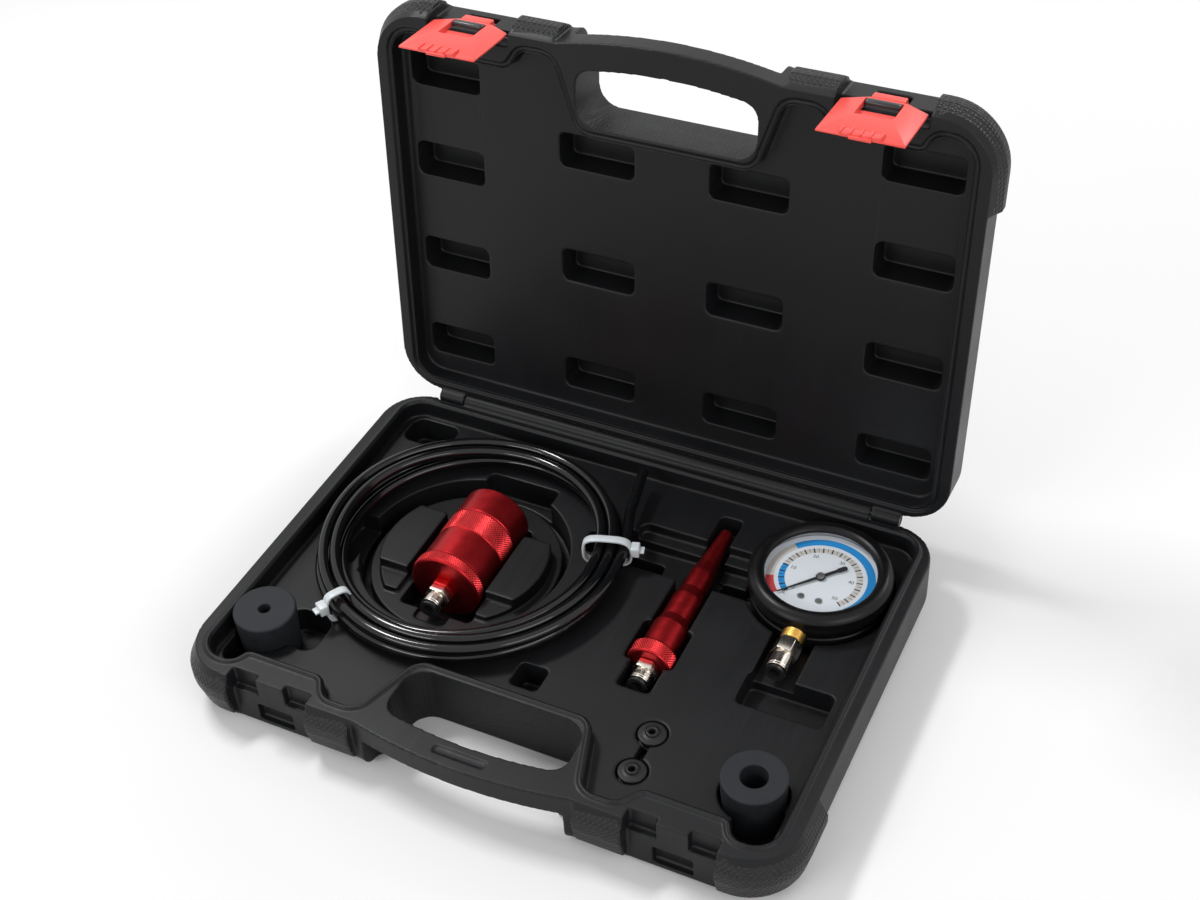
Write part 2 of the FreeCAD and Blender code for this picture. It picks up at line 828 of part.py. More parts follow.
def case_half(label, low, high, rounded_z, inner_rounded_z, hollows, additions, openings):
    """Skin less core, relieved round the hinge, with its additions fused on and openings cut."""
    skin = moulding(f"{label}_skin", low, high, rounded_z, as_dim(0.0), hollows)
    core = moulding(f"{label}_core", low, high, inner_rounded_z, v.skin, hollows)
    shell = cut(f"{label}_shell", skin, core)
    length = 2 * v.barrel_half + 2 * v.knuckle_gap
    relief = rod(f"{label}_relief", -length / 2, HINGE_Y, PARTING, length, v.barrel_radius + v.turning_play)
    relieved = cut(f"{label}_relieved", shell, relief)
    whole = fused(f"{label}_whole", [relieved, *additions])
    holes = fused(f"{label}_holes", openings) if len(openings) > 1 else openings[0]
    return cut(f"{label}_finished", whole, holes)


def build_case():
    half = v.barrel_half
    inner = half - v.knuckle_length
    bore_radius = v.pin_radius + v.pin_play
    base_bore = rod("base_bore", -half - 1.0, HINGE_Y, PARTING, 2 * half + 2.0, bore_radius)
    lid_bore = rod("lid_bore", -half - 1.0, HINGE_Y, PARTING, 2 * half + 2.0, bore_radius)

    ridge = new_body("base_ridge")
    sketch = new_sketch(ridge, height=PARTING - 0.5)
    add_outline(sketch, offset(tray_outline(), 1.0 + float(v.ridge_width)))
    add_outline(sketch, offset(tray_outline(), 1.0))
    pad(ridge, sketch, v.ridge_height + 0.5)

    base_extras = [ridge, *bumpers("base", bumper_profile(v.base_height, False))]
    base_extras += hinge_run("base", -inner, 2 * inner, True)
    boot_room = DOC.addObject("Part::Cylinder", "boot_room")
    bind(boot_room, "Radius", v.boot_radius + v.well_play)
    bind(boot_room, "Height", v.tray_drop)
    place(boot_room, v.gauge_right, v.gauge_back, PARTING - 0.6)
    base = case_half("case_base", as_dim(0.0), PARTING, as_dim(0.0), v.skin,
                     base_hollows(), base_extras, [base_bore, boot_room])
    keep("case_base", base)

    lid_extras = bumpers("lid", bumper_profile(v.lid_height, True))
    lid_extras += hinge_run("lid_right", inner + v.knuckle_gap, v.knuckle_length - v.knuckle_gap, False)
    lid_extras += hinge_run("lid_left", -half, v.knuckle_length - v.knuckle_gap, False)
    lid_holes = [lid_bore]
    for tag, sign in (("right", 1), ("left", -1)):
        middle = sign * v.latch_place
        catch = v.catch_width - 0.6
        lid_extras.append(
            brick(f"lid_{tag}_block", middle - catch / 2, -BAY_FACE - 2.3, PARTING + 0.4,
                  catch, as_dim(3.3), as_dim(7.6))
        )
        reach = v.catch_width / 2 + v.neck_play + 2.0
        lid_holes.append(
            rod(f"lid_{tag}_socket", middle - reach, -PIVOT_Y, PIVOT_Z, 2 * reach,
                v.pivot_radius + v.pin_play)
        )
    lid = case_half("case_lid", PARTING, LID_TOP, LID_TOP, LID_TOP - v.skin,
                    lid_hollows(), lid_extras, lid_holes)
    keep("case_lid", lid, OPENED)

    pin = rod("pin", -half + 0.5, HINGE_Y, PARTING, 2 * half - 1.0, v.pin_radius)
    keep("hinge_pin", pin)


# ---------------------------------------------------------------- latches

def build_latch(label, sign):
    """A latch in its own frame: the pivot is the X axis and the closed plate hangs down."""
    back = -(v.pivot_depth + v.latch_play)
    front = back - v.latch_thickness
    end = -(v.pivot_height + v.latch_drop)
    neck = v.catch_width / 2
    body = new_body(f"{label}_body")
    plate = new_sketch(body, "XZ_Plane", -back)
    add_polygon(plate, [
        (-v.latch_half, end),
        (v.latch_half, end),
        (v.latch_half, as_dim(-11.0)),
        (neck, as_dim(-4.0)),
        (neck, as_dim(0.0)),
        (-neck, as_dim(0.0)),
        (-neck, as_dim(-4.0)),
        (-v.latch_half, as_dim(-11.0)),
    ])
    window_low = -v.pivot_height - 12.0
    add_polygon(plate, rectangle(-v.window_half, v.window_half, window_low, as_dim(-6.0)))
    pad(body, plate, v.latch_thickness)
    hook_top = -(v.pivot_height + v.catch_drop + v.hook_play)
    hook = new_sketch(body, "XZ_Plane", -back - v.hook_reach)
    add_polygon(hook, rectangle(-neck - 1.0, neck + 1.0, hook_top - v.hook_thickness, hook_top))
    pad(body, hook, v.hook_reach + 0.5)
    web = new_sketch(body, "XZ_Plane", as_dim(0.0))
    add_polygon(web, rectangle(-neck, neck, -v.pivot_barrel, as_dim(0.0)))
    pad(body, web, -back + 0.5)
    barrel = rod(f"{label}_barrel", -neck, as_dim(0.0), as_dim(0.0), 2 * neck, v.pivot_barrel)
    pins = rod(f"{label}_pins", -neck - v.neck_play - 1.7, as_dim(0.0), as_dim(0.0),
               2 * (neck + v.neck_play + 1.7), v.pivot_radius)
    latch = fused(f"{label}_whole", [body, barrel, pins])
    pivot = Vector(sign * float(v.latch_place), -float(PIVOT_Y), float(PIVOT_Z))
    keep(label, latch, OPENED.multiply(Placement(pivot, Rotation())))


# ---------------------------------------------------------------- push-in fittings

TO_FRONT = Rotation(Vector(1, 0, 0), 90)


def build_fitting(prefix, x, y, z, hex_length, barrel_length):
    """Fitting, O-ring, gripper and collet along -Y, with the hexagon seated at (x, y, z)."""
    end = hex_length + barrel_length
    body = stacked(
        f"{prefix}_fitting",
        [
            (round_layer(v.spigot_radius), -v.spigot_length, as_dim(0.0)),
            (straight_layer(hexagon(v.hex_width)), as_dim(0.0), hex_length),
            (round_layer(v.fitting_radius), hex_length, end),
        ],
        [
            (round_layer(v.mouth_radius), end - v.mouth_depth, end),
            (round_layer(v.tube_bore), end - v.mouth_depth - 2.0, end),
            (round_layer(v.flow_bore), -v.spigot_length - 1.0, end),
        ],
    )
    keep(f"{prefix}_fitting", place(body, x, y, z, TO_FRONT))
    inner = v.tube_bore + 0.05
    collet_inner_end = end - 3.6
    rim = end + v.collet_travel + 0.1
    collet = turned(f"{prefix}_collet", [
        (inner, collet_inner_end),
        (v.collet_radius, collet_inner_end),
        (v.collet_radius, rim),
        (v.fitting_radius - 0.5, rim),
        (v.fitting_radius - 0.5, rim + v.collet_rim),
        (inner, rim + v.collet_rim),
    ])
    keep(f"{prefix}_collet", place(collet, x, y, z, TO_FRONT))
    gripper_low = end - 5.4
    gripper = turned(f"{prefix}_gripper", [
        (inner, gripper_low),
        (v.mouth_radius - 0.05, gripper_low),
        (v.mouth_radius - 0.05, gripper_low + 0.4),
        (inner, gripper_low + 0.4),
    ])
    keep(f"{prefix}_gripper", place(gripper, x, y, z, TO_FRONT))
    ring_section = (v.mouth_radius - v.tube_bore - 0.1) / 2
    oring = DOC.addObject("Part::Torus", f"{prefix}_torus")
    bind(oring, "Radius1", v.tube_bore + 0.05 + ring_section)
    bind(oring, "Radius2", ring_section)
    seat = end - v.mouth_depth + 0.9
    keep(f"{prefix}_oring", place(oring, x, y - seat, z, TO_FRONT))


# ---------------------------------------------------------------- gauge

def build_gauge_body():
    x, y = v.gauge_right, v.gauge_back
    height = v.boot_height
    inner = v.can_radius + v.fit_gap
    stem_hole = v.stem_radius + 0.3
    boot = turned("boot_body", [
        (as_dim(0.0), as_dim(0.0)),
        (v.boot_radius - 2.0, as_dim(0.0)),
        (v.boot_radius - 1.2, as_dim(2.0)),
        (v.boot_radius - 1.2, height * 0.55),
        (v.boot_radius, height * 0.65),
        (v.boot_radius, height - 4.0),
        (v.boot_radius - 3.0, height),
        (v.lip_radius + 1.8, height),
        (v.lip_radius, height - 1.4),
        (v.lip_radius, height - v.lip_thickness),
        (inner, height - v.lip_thickness),
        (inner, v.boot_floor),
        (as_dim(0.0), v.boot_floor),
    ])
    place(boot, x, y, GAUGE_LOW)
    hole = DOC.addObject("Part::Cylinder", "boot_stem_hole")
    bind(hole, "Radius", stem_hole)
    bind(hole, "Height", STEM_END)
    place(hole, x, y, STEM_Z, TO_FRONT)
    keep("gauge_boot", cut("boot_cut", boot, hole))

    can = turned("can_body", [
        (as_dim(0.0), CAN_LOW),
        (v.can_radius, CAN_LOW),
        (v.can_radius, CAN_HIGH),
        (CAN_INSIDE, CAN_HIGH),
        (CAN_INSIDE, CAN_LOW + v.can_wall),
        (as_dim(0.0), CAN_LOW + v.can_wall),
    ])
    place(can, x, y)
    screws = []
    for n, shift in enumerate((-4.0, 4.0)):
        hole = DOC.addObject("Part::Cylinder", f"can_screw_hole_{n}")
        bind(hole, "Radius", as_dim(2.25))
        bind(hole, "Height", v.can_wall + 2.0)
        screws.append(place(hole, x + shift, y - 20.0, CAN_LOW - 1.0))
    hole = DOC.addObject("Part::Cylinder", "can_stem_hole")
    bind(hole, "Radius", v.stem_neck + 0.05)
    bind(hole, "Height", STEM_END)
    place(hole, x, y, STEM_Z, TO_FRONT)
    keep("gauge_case", cut("can_cut", can, fused("can_holes", [hole, *screws])))

    ring = turned("lens_ring_body", [
        (v.lip_radius + 0.4, LENS_RING_LOW),
        (CAN_INSIDE - 0.05, LENS_RING_LOW),
        (CAN_INSIDE - 0.05, CAN_HIGH - 0.05),
        (v.lip_radius + 0.4, CAN_HIGH - 0.05),
    ])
    keep("lens_ring", place(ring, x, y))
    lens = stacked("lens_body", [(round_layer(CAN_INSIDE - 0.1), LENS_LOW, LENS_RING_LOW)])
    keep("gauge_lens", place(lens, x, y))


def build_gauge_socket():
    """Brass stem and block that carry the fitting, the tube, the movement and the dial."""
    x, y = v.gauge_right, v.gauge_back
    stem = DOC.addObject("Part::Cylinder", "stem_rod")
    collar = v.can_radius + v.fit_gap
    bind(stem, "Radius", v.stem_radius)
    bind(stem, "Height", STEM_END - collar)
    place(stem, x, y - collar, STEM_Z, TO_FRONT)
    neck = DOC.addObject("Part::Cylinder", "stem_neck")
    bind(neck, "Radius", v.stem_neck)
    bind(neck, "Height", STEM_END - v.block_front - 1.0)
    place(neck, x, y - v.block_front, STEM_Z, TO_FRONT)
    floor = CAN_LOW + v.can_wall
    block = brick("stem_block", x - v.block_half, y - v.block_front, floor,
                  2 * v.block_half, v.block_front - v.block_rear, DIAL_LOW - floor)
    foot = brick("stem_foot", x - v.block_half, y - v.block_rear, floor,
                 2 * v.block_half, v.foot_reach, PLATE_LOW - floor)
    solid = fused("stem_solid", [stem, neck, block, foot])
    holes = []
    bore = DOC.addObject("Part::Cylinder", "stem_thread")
    bind(bore, "Radius", v.spigot_radius + 0.05)
    bind(bore, "Height", v.spigot_length + 0.5)
    holes.append(place(bore, x, y - STEM_END + v.spigot_length + 0.5, STEM_Z, TO_FRONT))
    flow = DOC.addObject("Part::Cylinder", "stem_flow")
    bind(flow, "Radius", v.flow_bore)
    bind(flow, "Height", STEM_END)
    holes.append(place(flow, x, y - v.block_rear - 3.0, STEM_Z, TO_FRONT))
    for n, (radius, shift, back, low, length) in enumerate((
        (1.25, -4.0, 20.0, floor - 1.0, as_dim(8.0)),
        (1.25, 4.0, 20.0, floor - 1.0, as_dim(8.0)),
        (1.05, -5.0, 16.7, DIAL_LOW - 5.0, as_dim(6.0)),
        (1.05, 5.0, 16.7, DIAL_LOW - 5.0, as_dim(6.0)),
        (1.05, -3.0, 11.0, PLATE_LOW - 4.5, as_dim(5.5)),
        (1.05, 3.0, 11.0, PLATE_LOW - 4.5, as_dim(5.5)),
    )):
        hole = DOC.addObject("Part::Cylinder", f"stem_hole_{n}")
        bind(hole, "Radius", as_dim(radius))
        bind(hole, "Height", length)
        holes.append(place(hole, x + shift, y - back, low))
    keep("gauge_stem", cut("stem_cut", solid, fused("stem_holes", holes)))


def screw_pair(label, x, y, head_low, head_height, head_radius, shank_low, shank_radius, spread):
    """Two like screws, spread about x, as one node."""
    items = []
    for n, sign in enumerate((-1, 1)):
        screw = stacked(f"{label}_{n}", [
            (round_layer(shank_radius), shank_low, head_low),
            (round_layer(head_radius), head_low, head_low + head_height),
        ])
        items.append(place(screw, x + sign * spread, y))
    pair = DOC.addObject("Part::Compound", f"{label}_pair")
    pair.Links = items
    keep(label, pair)


def build_dial():
    x, y = v.gauge_right, v.gauge_back
    dial = stacked(
        "dial_body",
        [(round_layer(CAN_INSIDE - 0.3), DIAL_LOW, DIAL_TOP)],
        [(round_layer(as_dim(2.2)), DIAL_LOW - 1.0, DIAL_TOP + 0.0),
         (round_layer(as_dim(1.1), as_dim(-5.0), as_dim(-16.7)), DIAL_LOW - 1.0, DIAL_TOP + 0.0),
         (round_layer(as_dim(1.1), as_dim(5.0), as_dim(-16.7)), DIAL_LOW - 1.0, DIAL_TOP + 0.0)],
    )
    keep("gauge_dial", place(dial, x, y))
    screw_pair("dial_screws", x, y - 16.7, DIAL_TOP, as_dim(0.8), as_dim(1.9),
               DIAL_LOW - 4.6, as_dim(1.0), 5.0)
    screw_pair("socket_screws", x, y - 20.0, CAN_LOW + 0.02, v.can_wall - 0.04, as_dim(2.2),
               CAN_LOW + 0.01, as_dim(1.2), 4.0)
    # The stop pin stands just short of zero, so that the resting needle lies beside it
    angle = math.radians(float(v.needle_angle))
    reach = float(v.needle_length) - 3.0
    aside = 1.35
    pin_x = x + reach * math.cos(angle) + aside * math.cos(angle + math.pi / 2)
    pin_y = y + reach * math.sin(angle) + aside * math.sin(angle + math.pi / 2)
    stop = stacked("stop_body", [(round_layer(as_dim(0.6)), DIAL_TOP, DIAL_TOP + 1.8)])
    keep("stop_pin", place(stop, pin_x, pin_y))


def toothed(centre_angle, count, full_count, backlash, tip, root, pitch):
    """Corners of straight-flanked teeth round (0, 0), from one side of the arc to the other."""
    step = 2 * math.pi / full_count
    half = (step / 4) - backlash / pitch / 2
    corners = []
    for n in range(count):
        middle = centre_angle + (n - (count - 1) / 2) * step
        for radius, share in ((root, -1.35), (tip, -0.6), (tip, 0.6), (root, 1.35)):
            angle = middle + share * half
            corners.append((radius * math.cos(angle), radius * math.sin(angle), 0.0))
    return corners


def build_movement():
    x, y = v.gauge_right, v.gauge_back
    gx, gy = float(x), float(y)
    module = float(v.gear_module)
    pinion_pitch = float(PINION_PITCH)
    sector_pitch = float(SECTOR_REACH)
    sector_x = float(SECTOR_X) - gx
    arbor_hole = v.arbor_radius + v.pin_play
    left, right = -9.5, sector_x + 3.2
    plate = block_outline(left, right, -5.0, 5.0, 2.0)
    posts = [(-7.0, -3.2), (-7.0, 3.2), (sector_x - 0.6, 4.2)]
    tongue_front = -float(v.block_rear) + 0.3
    tongue = block_outline(-5.0, 5.0, tongue_front, -3.0, 0.0)
    holes = [(round_layer(arbor_hole), PLATE_LOW - 1.0, PLATE_LOW + v.plate_thickness),
             (round_layer(arbor_hole, sector_x), PLATE_LOW - 1.0, PLATE_LOW + v.plate_thickness)]
    for shift in (-3.0, 3.0):
        holes.append((round_layer(as_dim(1.1), shift, -11.0), PLATE_LOW - 1.0, PLATE_LOW + v.plate_thickness))
    low_plate = stacked(
        "low_plate_body",
        [(outline_layer(plate), PLATE_LOW, PLATE_LOW + v.plate_thickness),
         (outline_layer(tongue), PLATE_LOW, PLATE_LOW + v.plate_thickness)],
        holes,
    )
    keep("movement_bottom_plate", place(low_plate, x, y))
    top = PLATE_HIGH + v.plate_thickness
    high_plate = stacked(
        "high_plate_body",
        [(outline_layer(plate), PLATE_HIGH, top)],
        [(round_layer(arbor_hole), PLATE_HIGH - 1.0, top),
         (round_layer(arbor_hole, sector_x), PLATE_HIGH - 1.0, top)],
    )
    keep("movement_top_plate", place(high_plate, x, y))
    pillars = []
    for n, (px, py) in enumerate(posts):
        plate_top = PLATE_LOW + v.plate_thickness
        pillar = stacked(f"pillar_{n}", [(round_layer(as_dim(1.2)), plate_top, PLATE_HIGH)])
        pillars.append(place(pillar, x + px, y + py))
    group = DOC.addObject("Part::Compound", "pillar_group")
    group.Links = pillars
    keep("movement_pillars", group)
    screw_pair("movement_screws", x, y - 11.0, PLATE_LOW + v.plate_thickness, as_dim(1.0), as_dim(1.9),
               PLATE_LOW - 4.0, as_dim(1.0), 3.0)

    gear_low = PLATE_LOW + v.plate_thickness + 3.0
    teeth = toothed(math.pi / int(float(v.pinion_teeth)), int(float(v.pinion_teeth)), float(v.pinion_teeth),
                    0.22, pinion_pitch + 0.75 * module, pinion_pitch - 1.1 * module, pinion_pitch)
    arbor_top = DIAL_TOP + 1.9
    pinion = stacked("pinion_body", [
        (round_layer(v.arbor_radius), PLATE_LOW - 0.5, arbor_top),
        (outline_layer(teeth), gear_low, gear_low + v.gear_thickness + 0.6),
    ])
    keep("pinion_arbor", place(pinion, x, y))

    # The sector starts at the end of its travel, with its middle turned half the travel away
    travel = 270.0 / float(v.sector_teeth / v.pinion_teeth)
    reach = 7
    start = math.pi - math.radians(travel / 2)
    step = 2 * math.pi / float(v.sector_teeth)
    first = math.pi - (round((math.pi - start) / step) - 0.5) * step
    teeth = toothed(first, 2 * reach - 1, float(v.sector_teeth), 0.22,
                    sector_pitch + 0.75 * module, sector_pitch - 1.1 * module, sector_pitch)
    sector = stacked("sector_body", [
        (round_layer(v.arbor_radius), PLATE_LOW - 0.5, top + 0.5),
        (round_layer(as_dim(2.6)), gear_low, gear_low + v.gear_thickness),
        (outline_layer([(0.0, 0.0, 0.0), *teeth]), gear_low, gear_low + v.gear_thickness),
        (outline_layer(tail_outline(travel)), gear_low, gear_low + v.gear_thickness),
        (round_layer(as_dim(0.6), *tail_pivot(travel)), gear_low, gear_low + v.gear_thickness + 1.2),
    ])
    keep("sector_gear", place(sector, SECTOR_X, y))

    # Link from the sector's tail to the tip of the bourdon tube
    tail_x, tail_y = tail_pivot(travel)
    tip_x, tip_y = -0.83, -7.65
    along = Vector(tip_x - tail_x, tip_y - tail_y, 0)
    aside = Vector(-along.y, along.x, 0).normalize() * 1.3
    ahead = Vector(along).normalize() * 1.3
    low = Vector(tail_x, tail_y, 0) - ahead
    high = Vector(tip_x, tip_y, 0) + ahead
    corners = [(low - aside), (high - aside), (high + aside), (low + aside)]
    outline = [(corner.x, corner.y, 1.2) for corner in corners]
    link_low = gear_low + v.gear_thickness + 0.1
    link = stacked("link_body", [(outline_layer(outline), link_low, link_low + 0.8)],
                   [(round_layer(as_dim(0.65), tail_x, tail_y), link_low - 1.0, link_low + 0.8)])
    keep("bourdon_link", place(link, SECTOR_X, y))


def tail_pivot(travel):
    angle = math.radians(-90.0 - travel / 2)
    reach = float(v.tail_length)
    return reach * math.cos(angle), reach * math.sin(angle)


def tail_outline(travel):
    x, y = tail_pivot(travel)
    along = Vector(x, y, 0).normalize()
    aside = Vector(-along.y, along.x, 0) * 1.3
    end = Vector(x, y, 0) + along * 1.3
    corners = [aside, -aside, end - aside, end + aside]
    return [(corner.x, corner.y, 0.0) for corner in corners]


def build_tube():
    """Flattened tube bent round the movement, open at the block and closed by its tip piece."""
    x, y = v.gauge_right, v.gauge_back
    middle = STEM_Z - 1.5
    start, end = -22.0, 249.0
    half_wide, half_tall = v.tube_width / 2, v.tube_tall / 2
    body = new_body("tube_body")
    sketch = new_sketch(body, "XZ_Plane")
    add_polygon(sketch, rectangle(v.tube_radius - half_wide, v.tube_radius + half_wide,
                                  middle - half_tall, middle + half_tall))
    hollow = v.tube_skin
    add_polygon(sketch, rectangle(v.tube_radius - half_wide + hollow, v.tube_radius + half_wide - hollow,
                                  middle - half_tall + hollow, middle + half_tall - hollow))
    feature = body.newObject("PartDesign::Revolution", "Turn")
    feature.Profile = sketch
    feature.ReferenceAxis = (sketch, ["V_Axis"])
    feature.Angle = end - start
    keep("bourdon_tube", place(body, x, y, as_dim(0.0), Rotation(Vector(0, 0, 1), start)))

    tip = turned("tip_body", [
        (v.tube_radius - half_wide, middle - half_tall),
        (v.tube_radius + half_wide, middle - half_tall),
        (v.tube_radius + half_wide, middle + half_tall),
        (v.tube_radius - half_wide, middle + half_tall),
    ], 4.0)
    keep("bourdon_tip", place(tip, x, y, as_dim(0.0), Rotation(Vector(0, 0, 1), start - 4.0)))


def build_needle():
    x, y = v.gauge_right, v.gauge_back
    low = DIAL_TOP + 0.9
    tail = float(v.needle_tail)
    length = float(v.needle_length)
    outline = [
        (length, -0.25, 0.0),
        (length, 0.25, 0.0),
        (0.0, 0.9, 0.0),
        (-tail + 6.0, 0.9, 0.0),
        (-tail + 5.0, 1.4, 0.0),
        (-tail, 1.4, 1.2),
        (-tail, -1.4, 1.2),
        (-tail + 5.0, -1.4, 0.0),
        (-tail + 6.0, -0.9, 0.0),
        (0.0, -0.9, 0.0),
    ]
    needle = stacked(
        "needle_body",
        [(outline_layer(outline), low, low + 0.5), (round_layer(as_dim(2.6)), low, low + 0.5)],
        [(round_layer(v.arbor_radius), low - 1.0, low + 0.5)],
    )
    turn = Rotation(Vector(0, 0, 1), float(v.needle_angle))
    keep("needle", place(needle, x, y, as_dim(0.0), turn))
    cap = stacked(
        "needle_cap_body",
        [(round_layer(as_dim(2.1)), low + 0.5, low + 1.5)],
        [(round_layer(v.arbor_radius), low - 1.0, low + 1.0)],
    )
    keep("needle_cap", place(cap, x, y))


def build_hairspring():
    """Flat spiral above the gears, made of half circles that grow by the same step."""
    inner, gap, strip = 1.6, 0.45, 0.25
    low = float(PLATE_HIGH) - 2.2

    def spiral(start):
        edges = []
        radius = start
        centre = 0.0
        side = 1
        for _ in range(9):
            begin = Vector(centre + side * radius, 0, 0)
            top = Vector(centre, side * radius, 0)
            end = Vector(centre - side * radius, 0, 0)
            edges.append(Part.Arc(begin, top, end).toShape())
            side = -side
            radius += gap
            centre = end.x - side * radius
        return edges

    inner_edges = spiral(inner)
    outer_edges = spiral(inner + strip)
    start = Part.makeLine(inner_edges[0].Vertexes[0].Point, outer_edges[0].Vertexes[0].Point)
    finish = Part.makeLine(inner_edges[-1].Vertexes[-1].Point, outer_edges[-1].Vertexes[-1].Point)
    wire = Part.Wire(Part.__sortEdges__([start, *inner_edges, finish, *outer_edges]))
    solid = Part.Face(wire).extrude(Vector(0, 0, 1.0))
    item = DOC.addObject("Part::Feature", "hairspring_strip")
    item.Shape = solid
    keep("hairspring", place(item, v.gauge_right, v.gauge_back, low))


# ---------------------------------------------------------------- hose and ties

def build_hose():
    """The coil is one solid of its outer shape; the free end is a tube along its route."""
    outer = disc_outline(*COIL_CENTRE, v.coil_outer)
    inner = disc_outline(*COIL_HOLE_CENTRE, v.coil_inner)
    high = COIL_LOW + v.coil_height
    coil = stacked("coil_body", [(outline_layer(outer, inner), COIL_LOW, high)])
    keep("hose_coil", coil)

    low = float(COIL_LOW)
    points = [
        Vector(4.4, 70.6, low + 9.1),
        Vector(3.2, 81.0, low + 9.7),
        Vector(0.8, 91.5, low + 10.5),
        Vector(-1.2, 102.0, low + 11.3),
    ]
    edges = []
    here = points[0]
    for n in range(1, len(points) - 1):
        before = points[n - 1] - points[n]
        after = points[n + 1] - points[n]
        run = min(before.Length, after.Length)
        half_turn = (math.pi - before.getAngle(after)) / 2
        reach = 0.45 * run
        radius = reach / math.tan(half_turn)
        print(f"hose point {n}: turn {math.degrees(2 * half_turn):.1f} degrees, radius {radius:.0f} mm")
        before.normalize()
        after.normalize()
        start = points[n] + before * reach
        end = points[n] + after * reach
        bisector = (before + after).normalize()
        deep = radius / math.cos(half_turn) - radius
        edges.append(Part.LineSegment(here, start).toShape())
        edges.append(Part.Arc(start, points[n] + bisector * deep, end).toShape())
        here = end
    edges.append(Part.LineSegment(here, points[-1]).toShape())
    path = Part.Wire(edges)
    direction = (points[1] - points[0]).normalize()
    ring = Part.Wire(Part.makeCircle(float(v.hose_radius), points[0], direction))
    tube = path.makePipeShell([ring], True, False)
    section = math.pi * float(v.hose_radius) ** 2
    print(f"hose end: volume {tube.Volume:.1f}, section times length {section * path.Length:.1f}")
    item = DOC.addObject("Part::Feature", "hose_end_tube")
    item.Shape = tube
    keep("hose_end", item)


def build_tie(label, angle):
    """A strap round the coil's section at an angle of the coil, with its head on the outside."""
    ray = Vector(math.cos(math.radians(angle)), math.sin(math.radians(angle)), 0)
    aside = Vector(COIL_CENTRE[0] - COIL_HOLE_CENTRE[0], COIL_CENTRE[1] - COIL_HOLE_CENTRE[1], 0)
    along = aside.dot(ray)
    inside = math.sqrt(along ** 2 - aside.dot(aside) + float(v.coil_inner) ** 2) - along
    outside = float(v.coil_outer)
    middle = (inside + outside) / 2
    play = v.tie_play
    strap = v.tie_strap
    inner_half = as_dim((outside - inside) / 2) + play
    inner_low = COIL_LOW - play
    inner_high = COIL_LOW + v.coil_height + play
    x = COIL_CENTRE[0] + middle * ray.x
    y = COIL_CENTRE[1] + middle * ray.y
    body = new_body(f"{label}_body")
    sketch = new_sketch(body, "XZ_Plane", -v.tie_width / 2)
    outer = block_outline(-inner_half - strap, inner_half + strap, inner_low - strap, inner_high + strap, 2.4)
    inner = block_outline(-inner_half, inner_half, inner_low, inner_high, 1.2)
    add_outline(sketch, outer)
    add_outline(sketch, inner)
    pad(body, sketch, v.tie_width)
    head = brick(f"{label}_head", inner_half + strap / 2, -v.tie_width / 2 - 1.0, inner_high - 9.0,
                 as_dim(4.6), v.tie_width + 2.0, as_dim(6.0))
    tail = brick(f"{label}_tail", inner_half + strap / 2 + 4.0, -v.tie_width / 2, inner_high - 6.6,
                 as_dim(3.2), v.tie_width, strap)
    tie = fused(f"{label}_whole", [body, head, tail])
    pose = Placement(Vector(x, y, 0), Rotation(Vector(0, 0, 1), angle))
    keep(label, tie, pose)


# ---------------------------------------------------------------- adapters

def build_large_adapter():
    x, y, z = -v.adapter_left, -v.adapter_face, ADAPTER_Z
    back = Rotation(Vector(1, 0, 0), -90)
    cap_wall = v.adapter_wall
    seal = as_dim(1.5)
    thread = v.adapter_radius - 1.6
    cap = turned("cap_body", [
        (v.spigot_radius + 0.05, as_dim(-4.0)),
        (as_dim(5.6), as_dim(-4.0)),
        (as_dim(5.6), as_dim(0.0)),
        (CAP_RADIUS - 1.0, as_dim(0.0)),
        (CAP_RADIUS, as_dim(1.0)),
        (CAP_RADIUS, v.cap_length),
        (thread + 0.1, v.cap_length),
        (thread + 0.1, v.cap_length - 3.5),
        (v.passage_radius, v.cap_length - 3.5),
        (v.passage_radius, v.spigot_length - 3.9),
        (v.spigot_radius + 0.05, v.spigot_length - 3.9),
    ])
    sketch = new_sketch(cap, height=as_dim(-4.0))
    add_polygon(sketch, hexagon(v.hex_width))
    add_circle(sketch, 0.0, 0.0, v.spigot_radius + 0.05)
    pad(cap, sketch, as_dim(4.0))
    keep("adapter_cap", place(cap, x, y, z, back))
    start = v.cap_length - 3.5 + seal
    barrel = turned("barrel_body", [
        (v.passage_radius, start),
        (thread, start),
        (thread, v.cap_length),
        (v.adapter_radius, v.cap_length),
        (v.adapter_radius, v.band_start),
        (BAND_RADIUS, v.band_start),
        (BAND_RADIUS, v.band_end),
        (v.adapter_radius, v.band_end),
        (v.adapter_radius, v.adapter_length - 0.8),
        (v.adapter_radius - 0.8, v.adapter_length),
        (v.adapter_bore, v.adapter_length),
        (v.adapter_bore, start + cap_wall),
        (v.passage_radius, start + cap_wall),
    ])
    keep("adapter_barrel", place(barrel, x, y, z, back))
    washer = turned("seal_body", [
        (as_dim(5.4), v.cap_length - 3.5),
        (thread - 0.1, v.cap_length - 3.5),
        (thread - 0.1, start),
        (as_dim(5.4), start),
    ])
    keep("adapter_seal", place(washer, x, y, z, back))
    build_fitting("adapter", x, y - 4.0, z, as_dim(5.0), as_dim(6.5))


